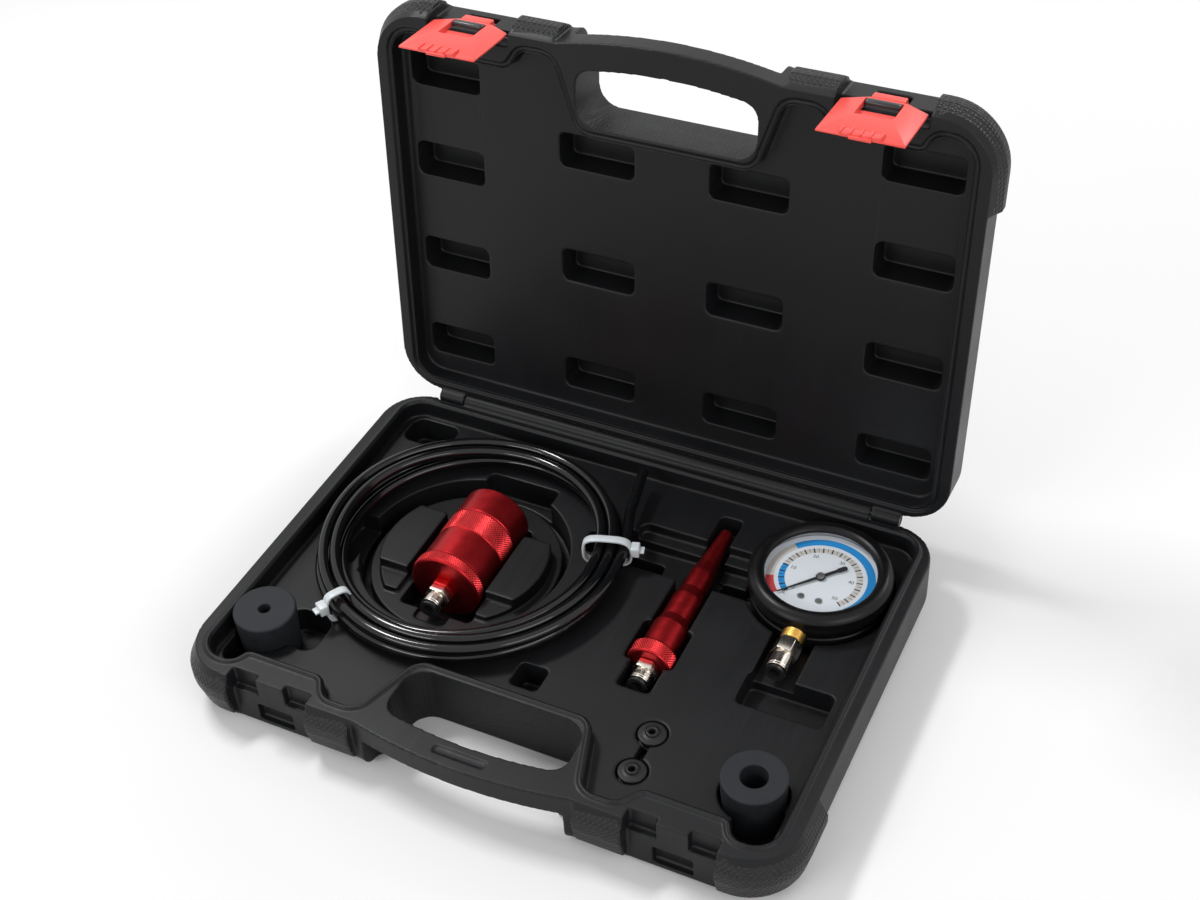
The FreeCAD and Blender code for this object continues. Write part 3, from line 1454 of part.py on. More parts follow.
def build_stepped_adapter():
    x, y, z = v.stepped_right, -v.stepped_face, v.stepped_height
    thread_end = v.spigot_length + 0.6
    # Each pair is (distance from the collar's face, radius)
    steps = [
        (28.0, 9.8), (34.0, 8.3), (51.0, 8.3), (57.5, 7.0),
        (71.0, 7.0), (80.0, 5.6), (107.0, 3.7), (108.0, 3.0),
    ]
    body = turned("stepped_body", [
        (v.spigot_radius + 0.05, as_dim(0.0)),
        (v.collar_radius - 0.8, as_dim(0.0)),
        (v.collar_radius, as_dim(0.8)),
        (v.collar_radius, v.collar_length - 0.8),
        (v.collar_radius - 0.8, v.collar_length),
        (v.land_radius, v.collar_length),
        *[(as_dim(radius), as_dim(distance)) for distance, radius in steps],
        (v.passage_radius, as_dim(108.0)),
        (v.passage_radius, thread_end),
        (v.spigot_radius + 0.05, thread_end),
    ])
    keep("stepped_adapter", place(body, x, y, z, Rotation(Vector(1, 0, 0), -90)))
    build_fitting("stepped", x, y, z, as_dim(6.0), as_dim(6.0))


# ---------------------------------------------------------------- rubber pieces

def build_plug(label, centre, top, radius, hole):
    low = top - v.plug_height
    plug = turned(f"{label}_body", [
        (hole, low),
        (radius - v.plug_taper, low),
        (radius, as_dim(top) - 1.0),
        (radius - 1.0, as_dim(top)),
        (hole, as_dim(top)),
    ])
    keep(label, place(plug, *centre))


def build_grommet(label, centre):
    low = GROMMET_TOP - v.grommet_height
    grommet = turned(f"{label}_body", [
        (v.grommet_bore, low),
        (v.grommet_radius - 0.6, low),
        (v.grommet_radius, low + 0.8),
        (v.grommet_radius, low + 3.4),
        (v.grommet_radius - 2.3, low + 4.2),
        (v.grommet_radius - 2.3, low + 5.8),
        (v.grommet_radius, low + 6.4),
        (v.grommet_radius, low + 8.0),
        (v.grommet_radius - 1.2, low + 9.0),
        (v.grommet_bore + 1.6, low + 9.0),
        (v.grommet_bore + 1.0, low + v.grommet_height),
        (v.grommet_bore, low + v.grommet_height),
    ])
    keep(label, place(grommet, *centre))


# ---------------------------------------------------------------- assembly

def build_all():
    build_case()
    build_latch("latch_right", 1)
    build_latch("latch_left", -1)
    build_gauge_body()
    build_gauge_socket()
    build_dial()
    build_movement()
    build_tube()
    build_needle()
    build_hairspring()
    build_fitting("gauge", v.gauge_right, v.gauge_back - STEM_END, STEM_Z, as_dim(10.0), as_dim(10.0))
    build_hose()
    build_tie("right_tie", 16.6)
    build_tie("left_tie", 238.8)
    build_large_adapter()
    build_stepped_adapter()
    build_plug("small_bore_plug", SMALL_PLUG, SMALL_PLUG_TOP, v.small_plug_radius, v.small_plug_hole)
    build_plug("large_bore_plug", LARGE_PLUG, LARGE_PLUG_TOP, v.large_plug_radius, v.large_plug_hole)
    for label, centre in GROMMETS.items():
        build_grommet(label, centre)


def check_and_write():
    DOC.recompute()
    for item in DOC.Objects:
        if "Invalid" in item.State or "Error" in item.State:
            raise RuntimeError(f"{item.Label} failed: {item.State}")
    for label, item in NODES.items():
        shape = item.Shape
        if shape.isNull() or not shape.isValid() or not shape.Solids:
            raise RuntimeError(f"{label} has no valid solid")
    os.makedirs("parts", exist_ok=True)
    for label, item in NODES.items():
        item.Shape.exportStep(f"parts/{label}.step")
        box = item.Shape.BoundBox
        print(f"{label}: {len(item.Shape.Solids)} solid(s), {item.Shape.Volume:.0f} mm3, "
              f"{box.XLength:.1f} x {box.YLength:.1f} x {box.ZLength:.1f}")


build_all()
check_and_write()
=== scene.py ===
"""Looks of a pressure tester kit in its open carry case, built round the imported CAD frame."""

import logging
import math
from collections.abc import Iterable, Sequence
from dataclasses import dataclass
from enum import Enum
from typing import Protocol

import bmesh
import bpy
from mathutils import Matrix, Vector


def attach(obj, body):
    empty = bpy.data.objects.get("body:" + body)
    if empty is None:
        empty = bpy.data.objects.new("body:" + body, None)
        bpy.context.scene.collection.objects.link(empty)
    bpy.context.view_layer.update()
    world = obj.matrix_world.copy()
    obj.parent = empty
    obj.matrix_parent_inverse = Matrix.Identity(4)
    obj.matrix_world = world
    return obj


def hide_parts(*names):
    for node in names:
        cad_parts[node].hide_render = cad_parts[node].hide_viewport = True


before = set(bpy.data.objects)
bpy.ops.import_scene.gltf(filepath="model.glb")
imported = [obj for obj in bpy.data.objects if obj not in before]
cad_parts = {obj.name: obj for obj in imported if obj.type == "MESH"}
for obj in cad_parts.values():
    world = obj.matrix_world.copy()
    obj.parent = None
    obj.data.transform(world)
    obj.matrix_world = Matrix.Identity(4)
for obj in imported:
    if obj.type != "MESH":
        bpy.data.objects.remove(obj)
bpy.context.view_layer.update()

LOG = logging.getLogger("tester_kit")
MM = 0.001
TO_FRONT = Matrix.Rotation(math.radians(90.0), 4, "X")
TO_BACK = Matrix.Rotation(math.radians(-90.0), 4, "X")
HINGE = Vector((0.0, 122.8, 36.0)) * MM
LID_ANGLE = -95.0
LID_TURN = (
    Matrix.Translation(HINGE)
    @ Matrix.Rotation(math.radians(LID_ANGLE), 4, "X")
    @ Matrix.Translation(-HINGE)
)
TIE_TURNS = {"right_tie": 16.6, "left_tie": 238.8}


class Body(Enum):
    """The rigid bodies of the frame that pieces ride on."""

    BASE = "base"
    LID = "lid"
    RIGHT_LATCH = "right_latch"
    LEFT_LATCH = "left_latch"
    GAUGE = "gauge"
    POINTER = "pointer"
    HOSE = "hose"
    LARGE_ADAPTER = "large_adapter"
    LONG_ADAPTER = "long_adapter"
    LEFT_PLUG = "left_plug"
    RIGHT_PLUG = "right_plug"
    REAR_RING = "rear_ring"
    FRONT_RING = "front_ring"


# ---------------------------------------------------------------- node trees


class Signal:
    """A socket of a node tree that takes part in arithmetic."""

    def __init__(self, graph: "Graph", socket: bpy.types.NodeSocket) -> None:
        """Keeps the socket and the tree it belongs to."""
        self.graph = graph
        self.socket = socket

    def math(self, operation: str, *others: "Signal | float") -> "Signal":
        """Adds one Math node.

        Args:
            operation: The Math node's operation.
            others: The values of its further sockets.

        Returns:
            The node's result.
        """
        values = dict(enumerate((self, *others)))
        return self.graph.signal("ShaderNodeMath", 0, {"operation": operation}, values)

    def __add__(self, other: "Signal | float") -> "Signal":
        """Sum."""
        return self.math("ADD", other)

    __radd__ = __add__

    def __sub__(self, other: "Signal | float") -> "Signal":
        """Difference."""
        return self.math("SUBTRACT", other)

    def __rsub__(self, other: float) -> "Signal":
        """Difference from a number."""
        return (self * -1.0) + other

    def __mul__(self, other: "Signal | float") -> "Signal":
        """Product."""
        return self.math("MULTIPLY", other)

    __rmul__ = __mul__

    def __truediv__(self, other: "Signal | float") -> "Signal":
        """Quotient."""
        return self.math("DIVIDE", other)

    def above(self, edge: float) -> "Signal":
        """1 where the signal is over the edge, else 0."""
        return self.math("GREATER_THAN", edge)

    def below(self, edge: float) -> "Signal":
        """1 where the signal is under the edge, else 0."""
        return self.math("LESS_THAN", edge)

    def sine(self) -> "Signal":
        """Sine."""
        return self.math("SINE")

    def cosine(self) -> "Signal":
        """Cosine."""
        return self.math("COSINE")

    def floor(self) -> "Signal":
        """Whole part."""
        return self.math("FLOOR")

    def modulo(self, other: "Signal | float") -> "Signal":
        """Remainder."""
        return self.math("MODULO", other)


class Graph:
    """A node tree with one method that adds any node."""

    def __init__(self, tree: bpy.types.NodeTree) -> None:
        """Keeps the tree."""
        self.tree = tree

    def node(
        self, kind: str, settings: dict | None = None, values: dict | None = None
    ) -> bpy.types.Node:
        """Adds a node.

        Args:
            kind: The node's type name.
            settings: Properties set before the sockets.
            values: Socket name or number to a value, socket or signal.

        Returns:
            The node.
        """
        made = self.tree.nodes.new(kind)
        for name, value in (settings or {}).items():
            setattr(made, name, value)
        for name, value in (values or {}).items():
            self.feed(made.inputs[name], value)
        return made

    def signal(
        self, kind: str, output: int | str, settings: dict | None = None, values: dict | None = None
    ) -> Signal:
        """Adds a node and gives one of its outputs as a signal."""
        return Signal(self, self.node(kind, settings, values).outputs[output])

    def feed(self, socket: bpy.types.NodeSocket, value: object) -> None:
        """Links a signal or socket to a socket, or sets its number.

        Args:
            socket: The socket to feed.
            value: A signal or socket to link, or a plain value.
        """
        if isinstance(value, Signal):
            value = value.socket
        if isinstance(value, bpy.types.NodeSocket):
            self.tree.links.new(value, socket)
        else:
            socket.default_value = value


class Shader(Graph):
    """A material's tree round one Principled surface."""

    def __init__(self, name: str) -> None:
        """Makes an empty material with its surface and output.

        Args:
            name: The material's name.
        """
        self.material = bpy.data.materials.new(name)
        self.material.use_nodes = True
        super().__init__(self.material.node_tree)
        self.tree.nodes.clear()
        self.surface = self.node("ShaderNodeBsdfPrincipled")
        surface = {"Surface": self.surface.outputs[0]}
        self.output = self.node("ShaderNodeOutputMaterial", None, surface)
        self.place = self.node("ShaderNodeTexCoord").outputs["Object"]

    def set(self, **values: object) -> None:
        """Feeds surface sockets, named with underscores for spaces."""
        for name, value in values.items():
            self.feed(self.surface.inputs[name.replace("_", " ")], value)

    def mapped(
        self,
        scale: tuple[float, float, float] = (1.0, 1.0, 1.0),
        centre: tuple[float, float, float] = (0.0, 0.0, 0.0),
        turn: tuple[float, float, float] = (0.0, 0.0, 0.0),
    ) -> Signal:
        """Gives object coordinates about a centre.

        Args:
            scale: How much the pattern is pressed together along each axis.
            centre: The point, in metres, that becomes the origin.
            turn: Turn about each axis, in radians.

        Returns:
            The coordinates.
        """
        values = {0: self.place, 1: centre}
        moved = self.signal("ShaderNodeVectorMath", 0, {"operation": "SUBTRACT"}, values)
        values = {"Vector": moved, "Rotation": turn, "Scale": scale}
        return self.signal("ShaderNodeMapping", 0, None, values)

    def noise(self, scale: float, detail: float = 3.0, vector: Signal | None = None) -> Signal:
        """Cloudy noise, with scale in spots a metre."""
        values = {"Vector": vector or self.place, "Scale": scale, "Detail": detail}
        return self.signal("ShaderNodeTexNoise", 0, None, values)

    def cells(self, scale: float, randomness: float, vector: Signal) -> Signal:
        """Distance from the middle of each of many small cells."""
        values = {"Vector": vector, "Scale": scale, "Randomness": randomness}
        return self.signal("ShaderNodeTexVoronoi", 0, None, values)

    def mix(self, factor: Signal, low: object, high: object) -> Signal:
        """Colour mix."""
        values = {0: factor, 6: low, 7: high}
        return self.signal("ShaderNodeMix", 2, {"data_type": "RGBA"}, values)

    def spread(self, factor: Signal, low: float, high: float) -> Signal:
        """A 0 to 1 signal spread between two numbers."""
        return factor * (high - low) + low

    def bump(
        self, height: Signal, depth: float, strength: float = 1.0, under: Signal | None = None
    ) -> Signal:
        """Makes a bump.

        Args:
            height: The relief, from 0 to 1.
            depth: The relief's depth in metres.
            strength: How much of it shows.
            under: Another bump that this one lies on.

        Returns:
            The bent normal.
        """
        values = {"Height": height, "Distance": depth, "Strength": strength}
        if under is not None:
            values["Normal"] = under
        return self.signal("ShaderNodeBump", 0, None, values)


class GeometryTree(Graph):
    """A geometry tree with named inputs that ends in real, dressed mesh."""

    def __init__(self, name: str, inputs: dict[str, float | int]) -> None:
        """Makes the tree and its inputs.

        Args:
            name: The tree's name.
            inputs: Input name to value; whole numbers make integer inputs.
        """
        super().__init__(bpy.data.node_groups.new(name, "GeometryNodeTree"))
        self.values = inputs
        sockets = self.tree.interface
        for label, value in inputs.items():
            kind = "NodeSocketInt" if isinstance(value, int) else "NodeSocketFloat"
            sockets.new_socket(label, in_out="INPUT", socket_type=kind)
        sockets.new_socket("Geometry", in_out="OUTPUT", socket_type="NodeSocketGeometry")
        self.entry = self.node("NodeGroupInput")

    def size(self, label: str) -> Signal:
        """One of the tree's named inputs."""
        return Signal(self, self.entry.outputs[label])

    def vector(self, x: object = 0.0, y: object = 0.0, z: object = 0.0) -> Signal:
        """Three numbers as one vector."""
        return self.signal("ShaderNodeCombineXYZ", 0, None, {0: x, 1: y, 2: z})

    def scatter(self, count: Signal, places: Signal, turns: Signal, shape: Signal) -> Signal:
        """Copies a shape to many places.

        Args:
            count: How many copies.
            places: The place of each.
            turns: The turn of each.
            shape: The geometry to copy.

        Returns:
            The copies, as instances.
        """
        points = self.signal("GeometryNodePoints", 0, None, {"Count": count, "Position": places})
        values = {"Points": points, "Instance": shape, "Rotation": turns}
        return self.signal("GeometryNodeInstanceOnPoints", 0, None, values)

    def mesh(self, name: str, result: Signal, material: bpy.types.Material) -> bpy.types.Object:
        """Finishes the tree and gives its result as a plain mesh object.

        Args:
            name: The object's name.
            result: The geometry to realise.
            material: The finish of its faces.

        Returns:
            The object, with no modifier left on it.
        """
        real = self.signal("GeometryNodeRealizeInstances", 0, None, {0: result})
        values = {"Geometry": real, "Material": material}
        dressed = self.signal("GeometryNodeSetMaterial", 0, None, values)
        self.node("NodeGroupOutput", None, {0: dressed})
        piece = linked(bpy.data.objects.new(name, bpy.data.meshes.new(name)))
        modifier = piece.modifiers.new("Tree", "NODES")
        modifier.node_group = self.tree
        for item in self.tree.interface.items_tree:
            if item.in_out == "INPUT":
                modifier[item.identifier] = self.values[item.name]
        apply_modifiers(piece)
        return piece


# ---------------------------------------------------------------- finishes


@dataclass(frozen=True)
class Plastic:
    """Moulded plastic with a fine grain, faint flow streaks and rows of pimples."""

    name: str
    colour: tuple[float, float, float]
    rough: float = 0.45
    grain: float = 1500.0
    depth: float = 0.00005
    streaks: float = 0.0
    pimples: float = 0.0
    pimple_depth: float = 0.0006
    gloss: float = 0.5
    clouds: float = 28.0
    paler: float = 1.35
    uneven: tuple[float, float] = (0.06, 0.1)
    flow: tuple[float, float, float] = (420.0, 14.0, 14.0)
    flow_depth: float = 0.00012
    flow_rough: float = 0.16
    pimple_turn: float = 45.0

    def material(self) -> bpy.types.Material:
        """Builds the material.

        Returns:
            The material.
        """
        shader = Shader(self.name)
        cloud = shader.noise(self.clouds, 4.0)
        lighter = tuple(min(1.0, channel * self.paler + 0.001) for channel in self.colour)
        colour = shader.mix(cloud, (*self.colour, 1.0), (*lighter, 1.0))
        grain = shader.noise(self.grain, 2.0)
        normal = shader.bump(grain, self.depth, 0.6)
        less, more = self.uneven
        rough = shader.spread(cloud, self.rough - less, self.rough + more)
        if self.streaks:
            flow = shader.noise(1.0, 3.0, shader.mapped(self.flow))
            normal = shader.bump(flow, self.flow_depth, self.streaks, normal)
            rough = rough + (flow - 0.5) * self.flow_rough
        if self.pimples:
            slanted = (0.0, math.radians(self.pimple_turn), 0.0)
            grid = shader.cells(1.0, 0.0, shader.mapped((self.pimples,) * 3, turn=slanted))
            normal = shader.bump(1.0 - grid, self.pimple_depth, 1.0, normal)
        shader.set(
            Base_Color=colour, Roughness=rough, Normal=normal, Specular_IOR_Level=self.gloss
        )
        return shader.material


@dataclass(frozen=True)
class Rubber:
    """Moulded rubber with dusty bloom and a fine pitted skin."""

    name: str
    colour: tuple[float, float, float]
    rough: float = 0.6
    bloom: float = 0.0
    gloss: float = 0.5
    dusty: tuple[float, float, float] = (0.2, 0.21, 0.22)
    dust: float = 160.0
    specks: float = 1400.0
    speck_edge: float = 0.62
    pits: float = 900.0
    pit_depth: float = 0.00006
    uneven: tuple[float, float] = (0.08, 0.12)

    def material(self) -> bpy.types.Material:
        """Builds the material.

        Returns:
            The material.
        """
        shader = Shader(self.name)
        dust = shader.noise(self.dust, 6.0)
        specks = shader.noise(self.specks, 3.0).above(self.speck_edge)
        shade = dust * self.bloom + specks * (self.bloom * 0.5)
        colour = shader.mix(shade, (*self.colour, 1.0), (*self.dusty, 1.0))
        normal = shader.bump(shader.noise(self.pits, 4.0), self.pit_depth, 0.5)
        less, more = self.uneven
        rough = shader.spread(dust, self.rough - less, self.rough + more)
        shader.set(
            Base_Color=colour, Roughness=rough, Normal=normal, Specular_IOR_Level=self.gloss
        )
        return shader.material


@dataclass(frozen=True)
class TurnedMetal:
    """Metal turned on a lathe, with tool rings round its axis and cloudy stains."""

    name: str
    colour: tuple[float, float, float]
    rough: float = 0.25
    rings: float = 0.5
    stain: tuple[float, float, float] | None = None
    axis: str = "Y"
    tool_marks: float = 7000.0
    tool_drift: float = 60.0
    tool_depth: float = 0.00002
    tool_rough: float = 0.12
    clouds: float = 190.0
    darker: float = 0.75
    uneven: tuple[float, float] = (0.06, 0.1)

    def material(self) -> bpy.types.Material:
        """Builds the material.

        Returns:
            The material.
        """
        shader = Shader(self.name)
        around, along = self.tool_drift, self.tool_marks
        scale = (around, along, around) if self.axis == "Y" else (around, around, along)
        tool = shader.noise(1.0, 2.0, shader.mapped(scale))
        cloud = shader.noise(self.clouds, 5.0)
        dark = self.stain or tuple(channel * self.darker for channel in self.colour)
        colour = shader.mix(cloud, (*dark, 1.0), (*self.colour, 1.0))
        normal = shader.bump(tool, self.tool_depth, self.rings)
        less, more = self.uneven
        rough = shader.spread(cloud, self.rough - less, self.rough + more)
        rough = rough + (tool - 0.5) * self.tool_rough
        shader.set(Base_Color=colour, Metallic=1.0, Roughness=rough, Normal=normal)
        return shader.material


@dataclass(frozen=True)
class GlossTube:
    """Smooth extruded polyurethane tube."""

    name: str
    colour: tuple[float, float, float]
    cloudy: tuple[float, float, float] = (0.006, 0.0065, 0.0075)
    clouds: float = 90.0
    smears: float = 420.0
    rough: tuple[float, float] = (0.08, 0.14)
    waves: float = 40.0
    wave_depth: float = 0.0003
    gloss: float = 0.4

    def material(self) -> bpy.types.Material:
        """Builds the material.

        Returns:
            The material.
        """
        shader = Shader(self.name)
        cloud = shader.noise(self.clouds, 4.0)
        colour = shader.mix(cloud, (*self.colour, 1.0), (*self.cloudy, 1.0))
        rough = shader.spread(shader.noise(self.smears, 4.0), *self.rough)
        normal = shader.bump(shader.noise(self.waves, 2.0), self.wave_depth, 0.15)
        shader.set(
            Base_Color=colour, Roughness=rough, Normal=normal, Specular_IOR_Level=self.gloss
        )
        return shader.material


@dataclass(frozen=True)
class Nylon:
    """Milky nylon of the cable ties."""

    name: str
    colour: tuple[float, float, float]
    clouds: float = 300.0
    darker: float = 0.86
    grain: float = 1800.0
    depth: float = 0.00004
    rough: tuple[float, float] = (0.3, 0.45)
    milkiness: float = 0.15

    def material(self) -> bpy.types.Material:
        """Builds the material.

        Returns:
            The material.
        """
        shader = Shader(self.name)
        cloud = shader.noise(self.clouds, 4.0)
        darker = tuple(channel * self.darker for channel in self.colour)
        colour = shader.mix(cloud, (*self.colour, 1.0), (*darker, 1.0))
        normal = shader.bump(shader.noise(self.grain, 2.0), self.depth, 0.5)
        rough = shader.spread(cloud, *self.rough)
        shader.set(
            Base_Color=colour, Roughness=rough, Normal=normal, Subsurface_Weight=self.milkiness
        )
        return shader.material


@dataclass(frozen=True)
class ClearLens:
    """Clear gauge window: see-through, with a reflection that grows at the edge of sight."""

    name: str
    rough: float = 0.03
    waves: float = 30.0
    wave_depth: float = 0.0002
    face_on: float = 0.03
    edge_on: float = 0.5

    def material(self) -> bpy.types.Material:
        """Builds the material.

        Returns:
            The material.
        """
        shader = Shader(self.name)
        white = (1.0, 1.0, 1.0, 1.0)
        shader.set(Base_Color=white, Roughness=self.rough, Specular_IOR_Level=0.6)
        shader.set(Normal=shader.bump(shader.noise(self.waves, 2.0), self.wave_depth, 0.1))
        clear = shader.signal("ShaderNodeBsdfTransparent", 0)
        facing = shader.signal("ShaderNodeLayerWeight", "Facing", None, {"Blend": 0.5})
        rim = facing * facing * facing * facing * self.edge_on + self.face_on
        gloss = shader.signal("ShaderNodeBsdfGlossy", 0, None, {"Roughness": self.rough})
        both = shader.signal("ShaderNodeMixShader", 0, None, {0: rim, 1: clear, 2: gloss})
        shader.feed(shader.output.inputs["Surface"], both)
        return shader.material


@dataclass(frozen=True)
class DialPrint:
    """White dial face with coloured arcs printed round it."""

    name: str
    centre: tuple[float, float, float]
    zero: float = 227.0
    inner: tuple[float, float] = (19.2, 22.6)
    outer: tuple[float, float] = (25.0, 29.4)
    paper: tuple[float, float, float] = (0.78, 0.83, 0.88)
    beige: tuple[float, float, float] = (0.62, 0.6, 0.57)
    blue: tuple[float, float, float] = (0.02, 0.3, 0.72)
    red: tuple[float, float, float] = (0.62, 0.06, 0.07)

    def material(self) -> bpy.types.Material:
        """Builds the material from rings of radius and arcs of angle clockwise from zero.

        Returns:
            The material.
        """
        shader = Shader(self.name)
        spot = shader.mapped(centre=self.centre)
        split = shader.node("ShaderNodeSeparateXYZ", None, {0: spot})
        x = Signal(shader, split.outputs[0])
        y = Signal(shader, split.outputs[1])
        radius = (x * x + y * y).math("SQRT") * 1000.0
        angle = y.math("ARCTAN2", x) * (180.0 / math.pi)
        turned = (self.zero + 720.0 - angle).modulo(360.0)
        colour: object = (*self.paper, 1.0)
        arcs = (
            (self.inner, (0.0, 270.0), self.beige),
            (self.inner, (0.0, 56.0), self.blue),
            (self.outer, (2.0, 30.0), self.red),
            (self.outer, (30.0, 88.0), self.beige),
            (self.outer, (88.0, 268.0), self.blue),
        )
        for (low, high), (start, end), paint in arcs:
            ring = radius.above(low) * radius.below(high)
            inside = ring * turned.above(start) * turned.below(end)
            colour = shader.mix(inside, colour, (*paint, 1.0))
        mottle = shader.noise(600.0, 2.0)
        rough = shader.spread(mottle, 0.35, 0.42)
        shader.set(Base_Color=colour, Roughness=rough, Normal=shader.bump(mottle, 0.00002, 0.3))
        return shader.material


class Finishes:
    def __init__(self) -> None:
        """Builds all materials."""
        black = (0.006, 0.0063, 0.0072)
        self.case = Plastic("case plastic", black, 0.4, streaks=0.25, gloss=0.22).material()
        self.case_grip = Plastic(
            "case plastic with pimples", black, 0.42, gloss=0.3, pimples=480.0, pimple_depth=0.0012
        ).material()
        self.case_fine = Plastic(
            "case plastic with fine dots",
            black, 0.42, gloss=0.25, pimples=900.0, pimple_depth=0.0005,
        ).material()
        self.latch = Plastic(
            "latch plastic", (0.76, 0.075, 0.062), 0.36, 2200.0, 0.00003, gloss=0.4
        ).material()
        self.collet = Plastic(
            "collet plastic", (0.012, 0.012, 0.013), 0.3, 3000.0, 0.00002
        ).material()
        self.boot = Rubber("boot rubber", (0.004, 0.004, 0.0045), 0.3, 0.01, 0.2).material()
        self.plug = Rubber("plug rubber", (0.009, 0.0105, 0.0135), 0.62, 0.06, 0.25).material()
        self.seal = Rubber("seal rubber", (0.008, 0.008, 0.008), 0.42, 0.0, 0.3).material()
        self.red = TurnedMetal(
            "red anodising", (0.46, 0.022, 0.026), 0.36, 0.5, (0.36, 0.014, 0.018)
        ).material()
        # The knurled bands get a paler red and stain than the plain anodising: painted sheen
        # standing in for the light that the knurl's facets catch.
        self.knurl = TurnedMetal(
            "knurled red anodising with painted sheen", (0.66, 0.05, 0.055), 0.26, 0.2, (0.5, 0.025, 0.03)
        ).material()
        self.nickel = TurnedMetal(
            "nickel plate", (0.68, 0.63, 0.56), 0.18, 0.12, (0.58, 0.53, 0.47)
        ).material()
        self.brass = TurnedMetal("turned brass", (0.78, 0.5, 0.14), 0.24, 0.5).material()
        self.steel = TurnedMetal(
            "zinc plated steel", (0.56, 0.56, 0.57), 0.3, 0.3, axis="Z"
        ).material()
        self.hose = GlossTube("hose plastic", (0.003, 0.003, 0.0035)).material()
        self.tie = Nylon("tie nylon", (0.74, 0.75, 0.76)).material()
        self.lens = ClearLens("gauge window").material()
        self.ink = Plastic("black ink", (0.01, 0.01, 0.012), 0.4, 2500.0, 0.00001).material()


# ---------------------------------------------------------------- mesh helpers


def at(x: float, y: float, z: float = 0.0) -> Matrix:
    """A move by millimetres."""
    return Matrix.Translation(Vector((x, y, z)) * MM)


def polar(radius: float, degrees: float) -> tuple[float, float]:
    """The point at a distance and an angle from the origin."""
    angle = math.radians(degrees)
    return radius * math.cos(angle), radius * math.sin(angle)


def hexagon(width: float) -> list[tuple[float, float]]:
    """Corners of a hexagon, from its width across flats."""
    corner = width / math.sqrt(3.0)
    return [polar(corner, 60.0 * n) for n in range(6)]


def linked(piece: bpy.types.Object) -> bpy.types.Object:
    """Puts an object in the scene and gives it back."""
    bpy.context.scene.collection.objects.link(piece)
    return piece


def plain_mesh(piece: bpy.types.Object) -> bpy.types.Mesh:
    """What an object looks like after its modifiers, as a new mesh."""
    evaluated = piece.evaluated_get(bpy.context.evaluated_depsgraph_get())
    return bpy.data.meshes.new_from_object(evaluated)


def from_bmesh(
    name: str, shape: bmesh.types.BMesh, material: bpy.types.Material
) -> bpy.types.Object:
    """Turns a bmesh into a dressed, smoothly shaded object.

    Args:
        name: The object's name.
        shape: The mesh, which is freed.
        material: Its finish.

    Returns:
        The object.
    """
    bmesh.ops.remove_doubles(shape, verts=shape.verts, dist=1e-7)
    bmesh.ops.recalc_face_normals(shape, faces=shape.faces)
    data = bpy.data.meshes.new(name)
    shape.to_mesh(data)
    shape.free()
    data.materials.append(material)
    shade_smooth(data)
    return linked(bpy.data.objects.new(name, data))


def shade_smooth(data: bpy.types.Mesh) -> None:
    """Shades all faces of a mesh smoothly."""
    for face in data.polygons:
        face.use_smooth = True


def apply_modifiers(piece: bpy.types.Object) -> None:
    """Bakes an object's modifiers into its mesh.

    Args:
        piece: The object.
    """
    baked = plain_mesh(piece)
    piece.modifiers.clear()
    piece.data = baked


def supported(
    profile: Sequence[tuple[float, float]], inset: float = 0.12
) -> list[tuple[float, float]]:
    """Adds a point close to both ends of a profile's long runs, so that they shade flat.

    Args:
        profile: Corners as (radius, height) in millimetres.
        inset: Distance in millimetres of the added points from the corners.

    Returns:
        The corners with the added points.
    """
    points = []
    following = list(profile[1:]) + [profile[0]]
    closed = profile[0][0] > 0.0 and profile[-1][0] > 0.0
    for index, (start, end) in enumerate(zip(profile, following)):
        points.append(start)
        length = math.dist(start, end)
        if length < 5.0 * inset or (not closed and index == len(profile) - 1):
            continue
        for share in (inset / length, 1.0 - inset / length):
            radius = start[0] + (end[0] - start[0]) * share
            points.append((radius, start[1] + (end[1] - start[1]) * share))
    return points


def lathe(
    name: str,
    profile: Sequence[tuple[float, float]],
    material: bpy.types.Material,
    place: Matrix,
    sides: int = 96,
) -> bpy.types.Object:
    """Turns a closed or open profile of (radius, height) in millimetres about Z.

    Args:
        name: The object's name.
        profile: Corners of the profile; radius 0 closes a pole.
        material: Its finish.
        place: Where it stands, in metres.
        sides: Steps round the axis.

    Returns:
        The object.
    """
    shape = bmesh.new()
    rings = []
    for radius, height in supported(profile):
        if radius == 0.0:
            rings.append([shape.verts.new((0.0, 0.0, height * MM))] * sides)
            continue
        ring = []
        for step in range(sides):
            angle = 2.0 * math.pi * step / sides
            x, y = radius * math.cos(angle) * MM, radius * math.sin(angle) * MM
            ring.append(shape.verts.new((x, y, height * MM)))
        rings.append(ring)
    closed = profile[0][0] > 0.0 and profile[-1][0] > 0.0
    following = rings[1:] + rings[:1] if closed else rings[1:]
    for low, high in zip(rings, following):
        for step in range(sides):
            after = (step + 1) % sides
            corners = dict.fromkeys((low[step], low[after], high[after], high[step]))
            if len(corners) > 2:
                shape.faces.new(tuple(corners))
    piece = from_bmesh(name, shape, material)
    piece.data.transform(place)
    return piece


def round_edges(
    piece: bpy.types.Object, width: float, segments: int = 3, angle: float = 30.0
) -> bpy.types.Object:
    """Rounds an object's sharp edges and bakes the result.

    Args:
        piece: The object.
        width: The rounding's width in millimetres.
        segments: Its number of faces across.
        angle: The least bend, in degrees, of an edge that is rounded.

    Returns:
        The object.
    """
    modifier = piece.modifiers.new("Round", "BEVEL")
    modifier.width = width * MM
    modifier.segments = segments
    modifier.limit_method = "ANGLE"
    modifier.angle_limit = math.radians(angle)
    apply_modifiers(piece)
    shade_smooth(piece.data)
    return piece


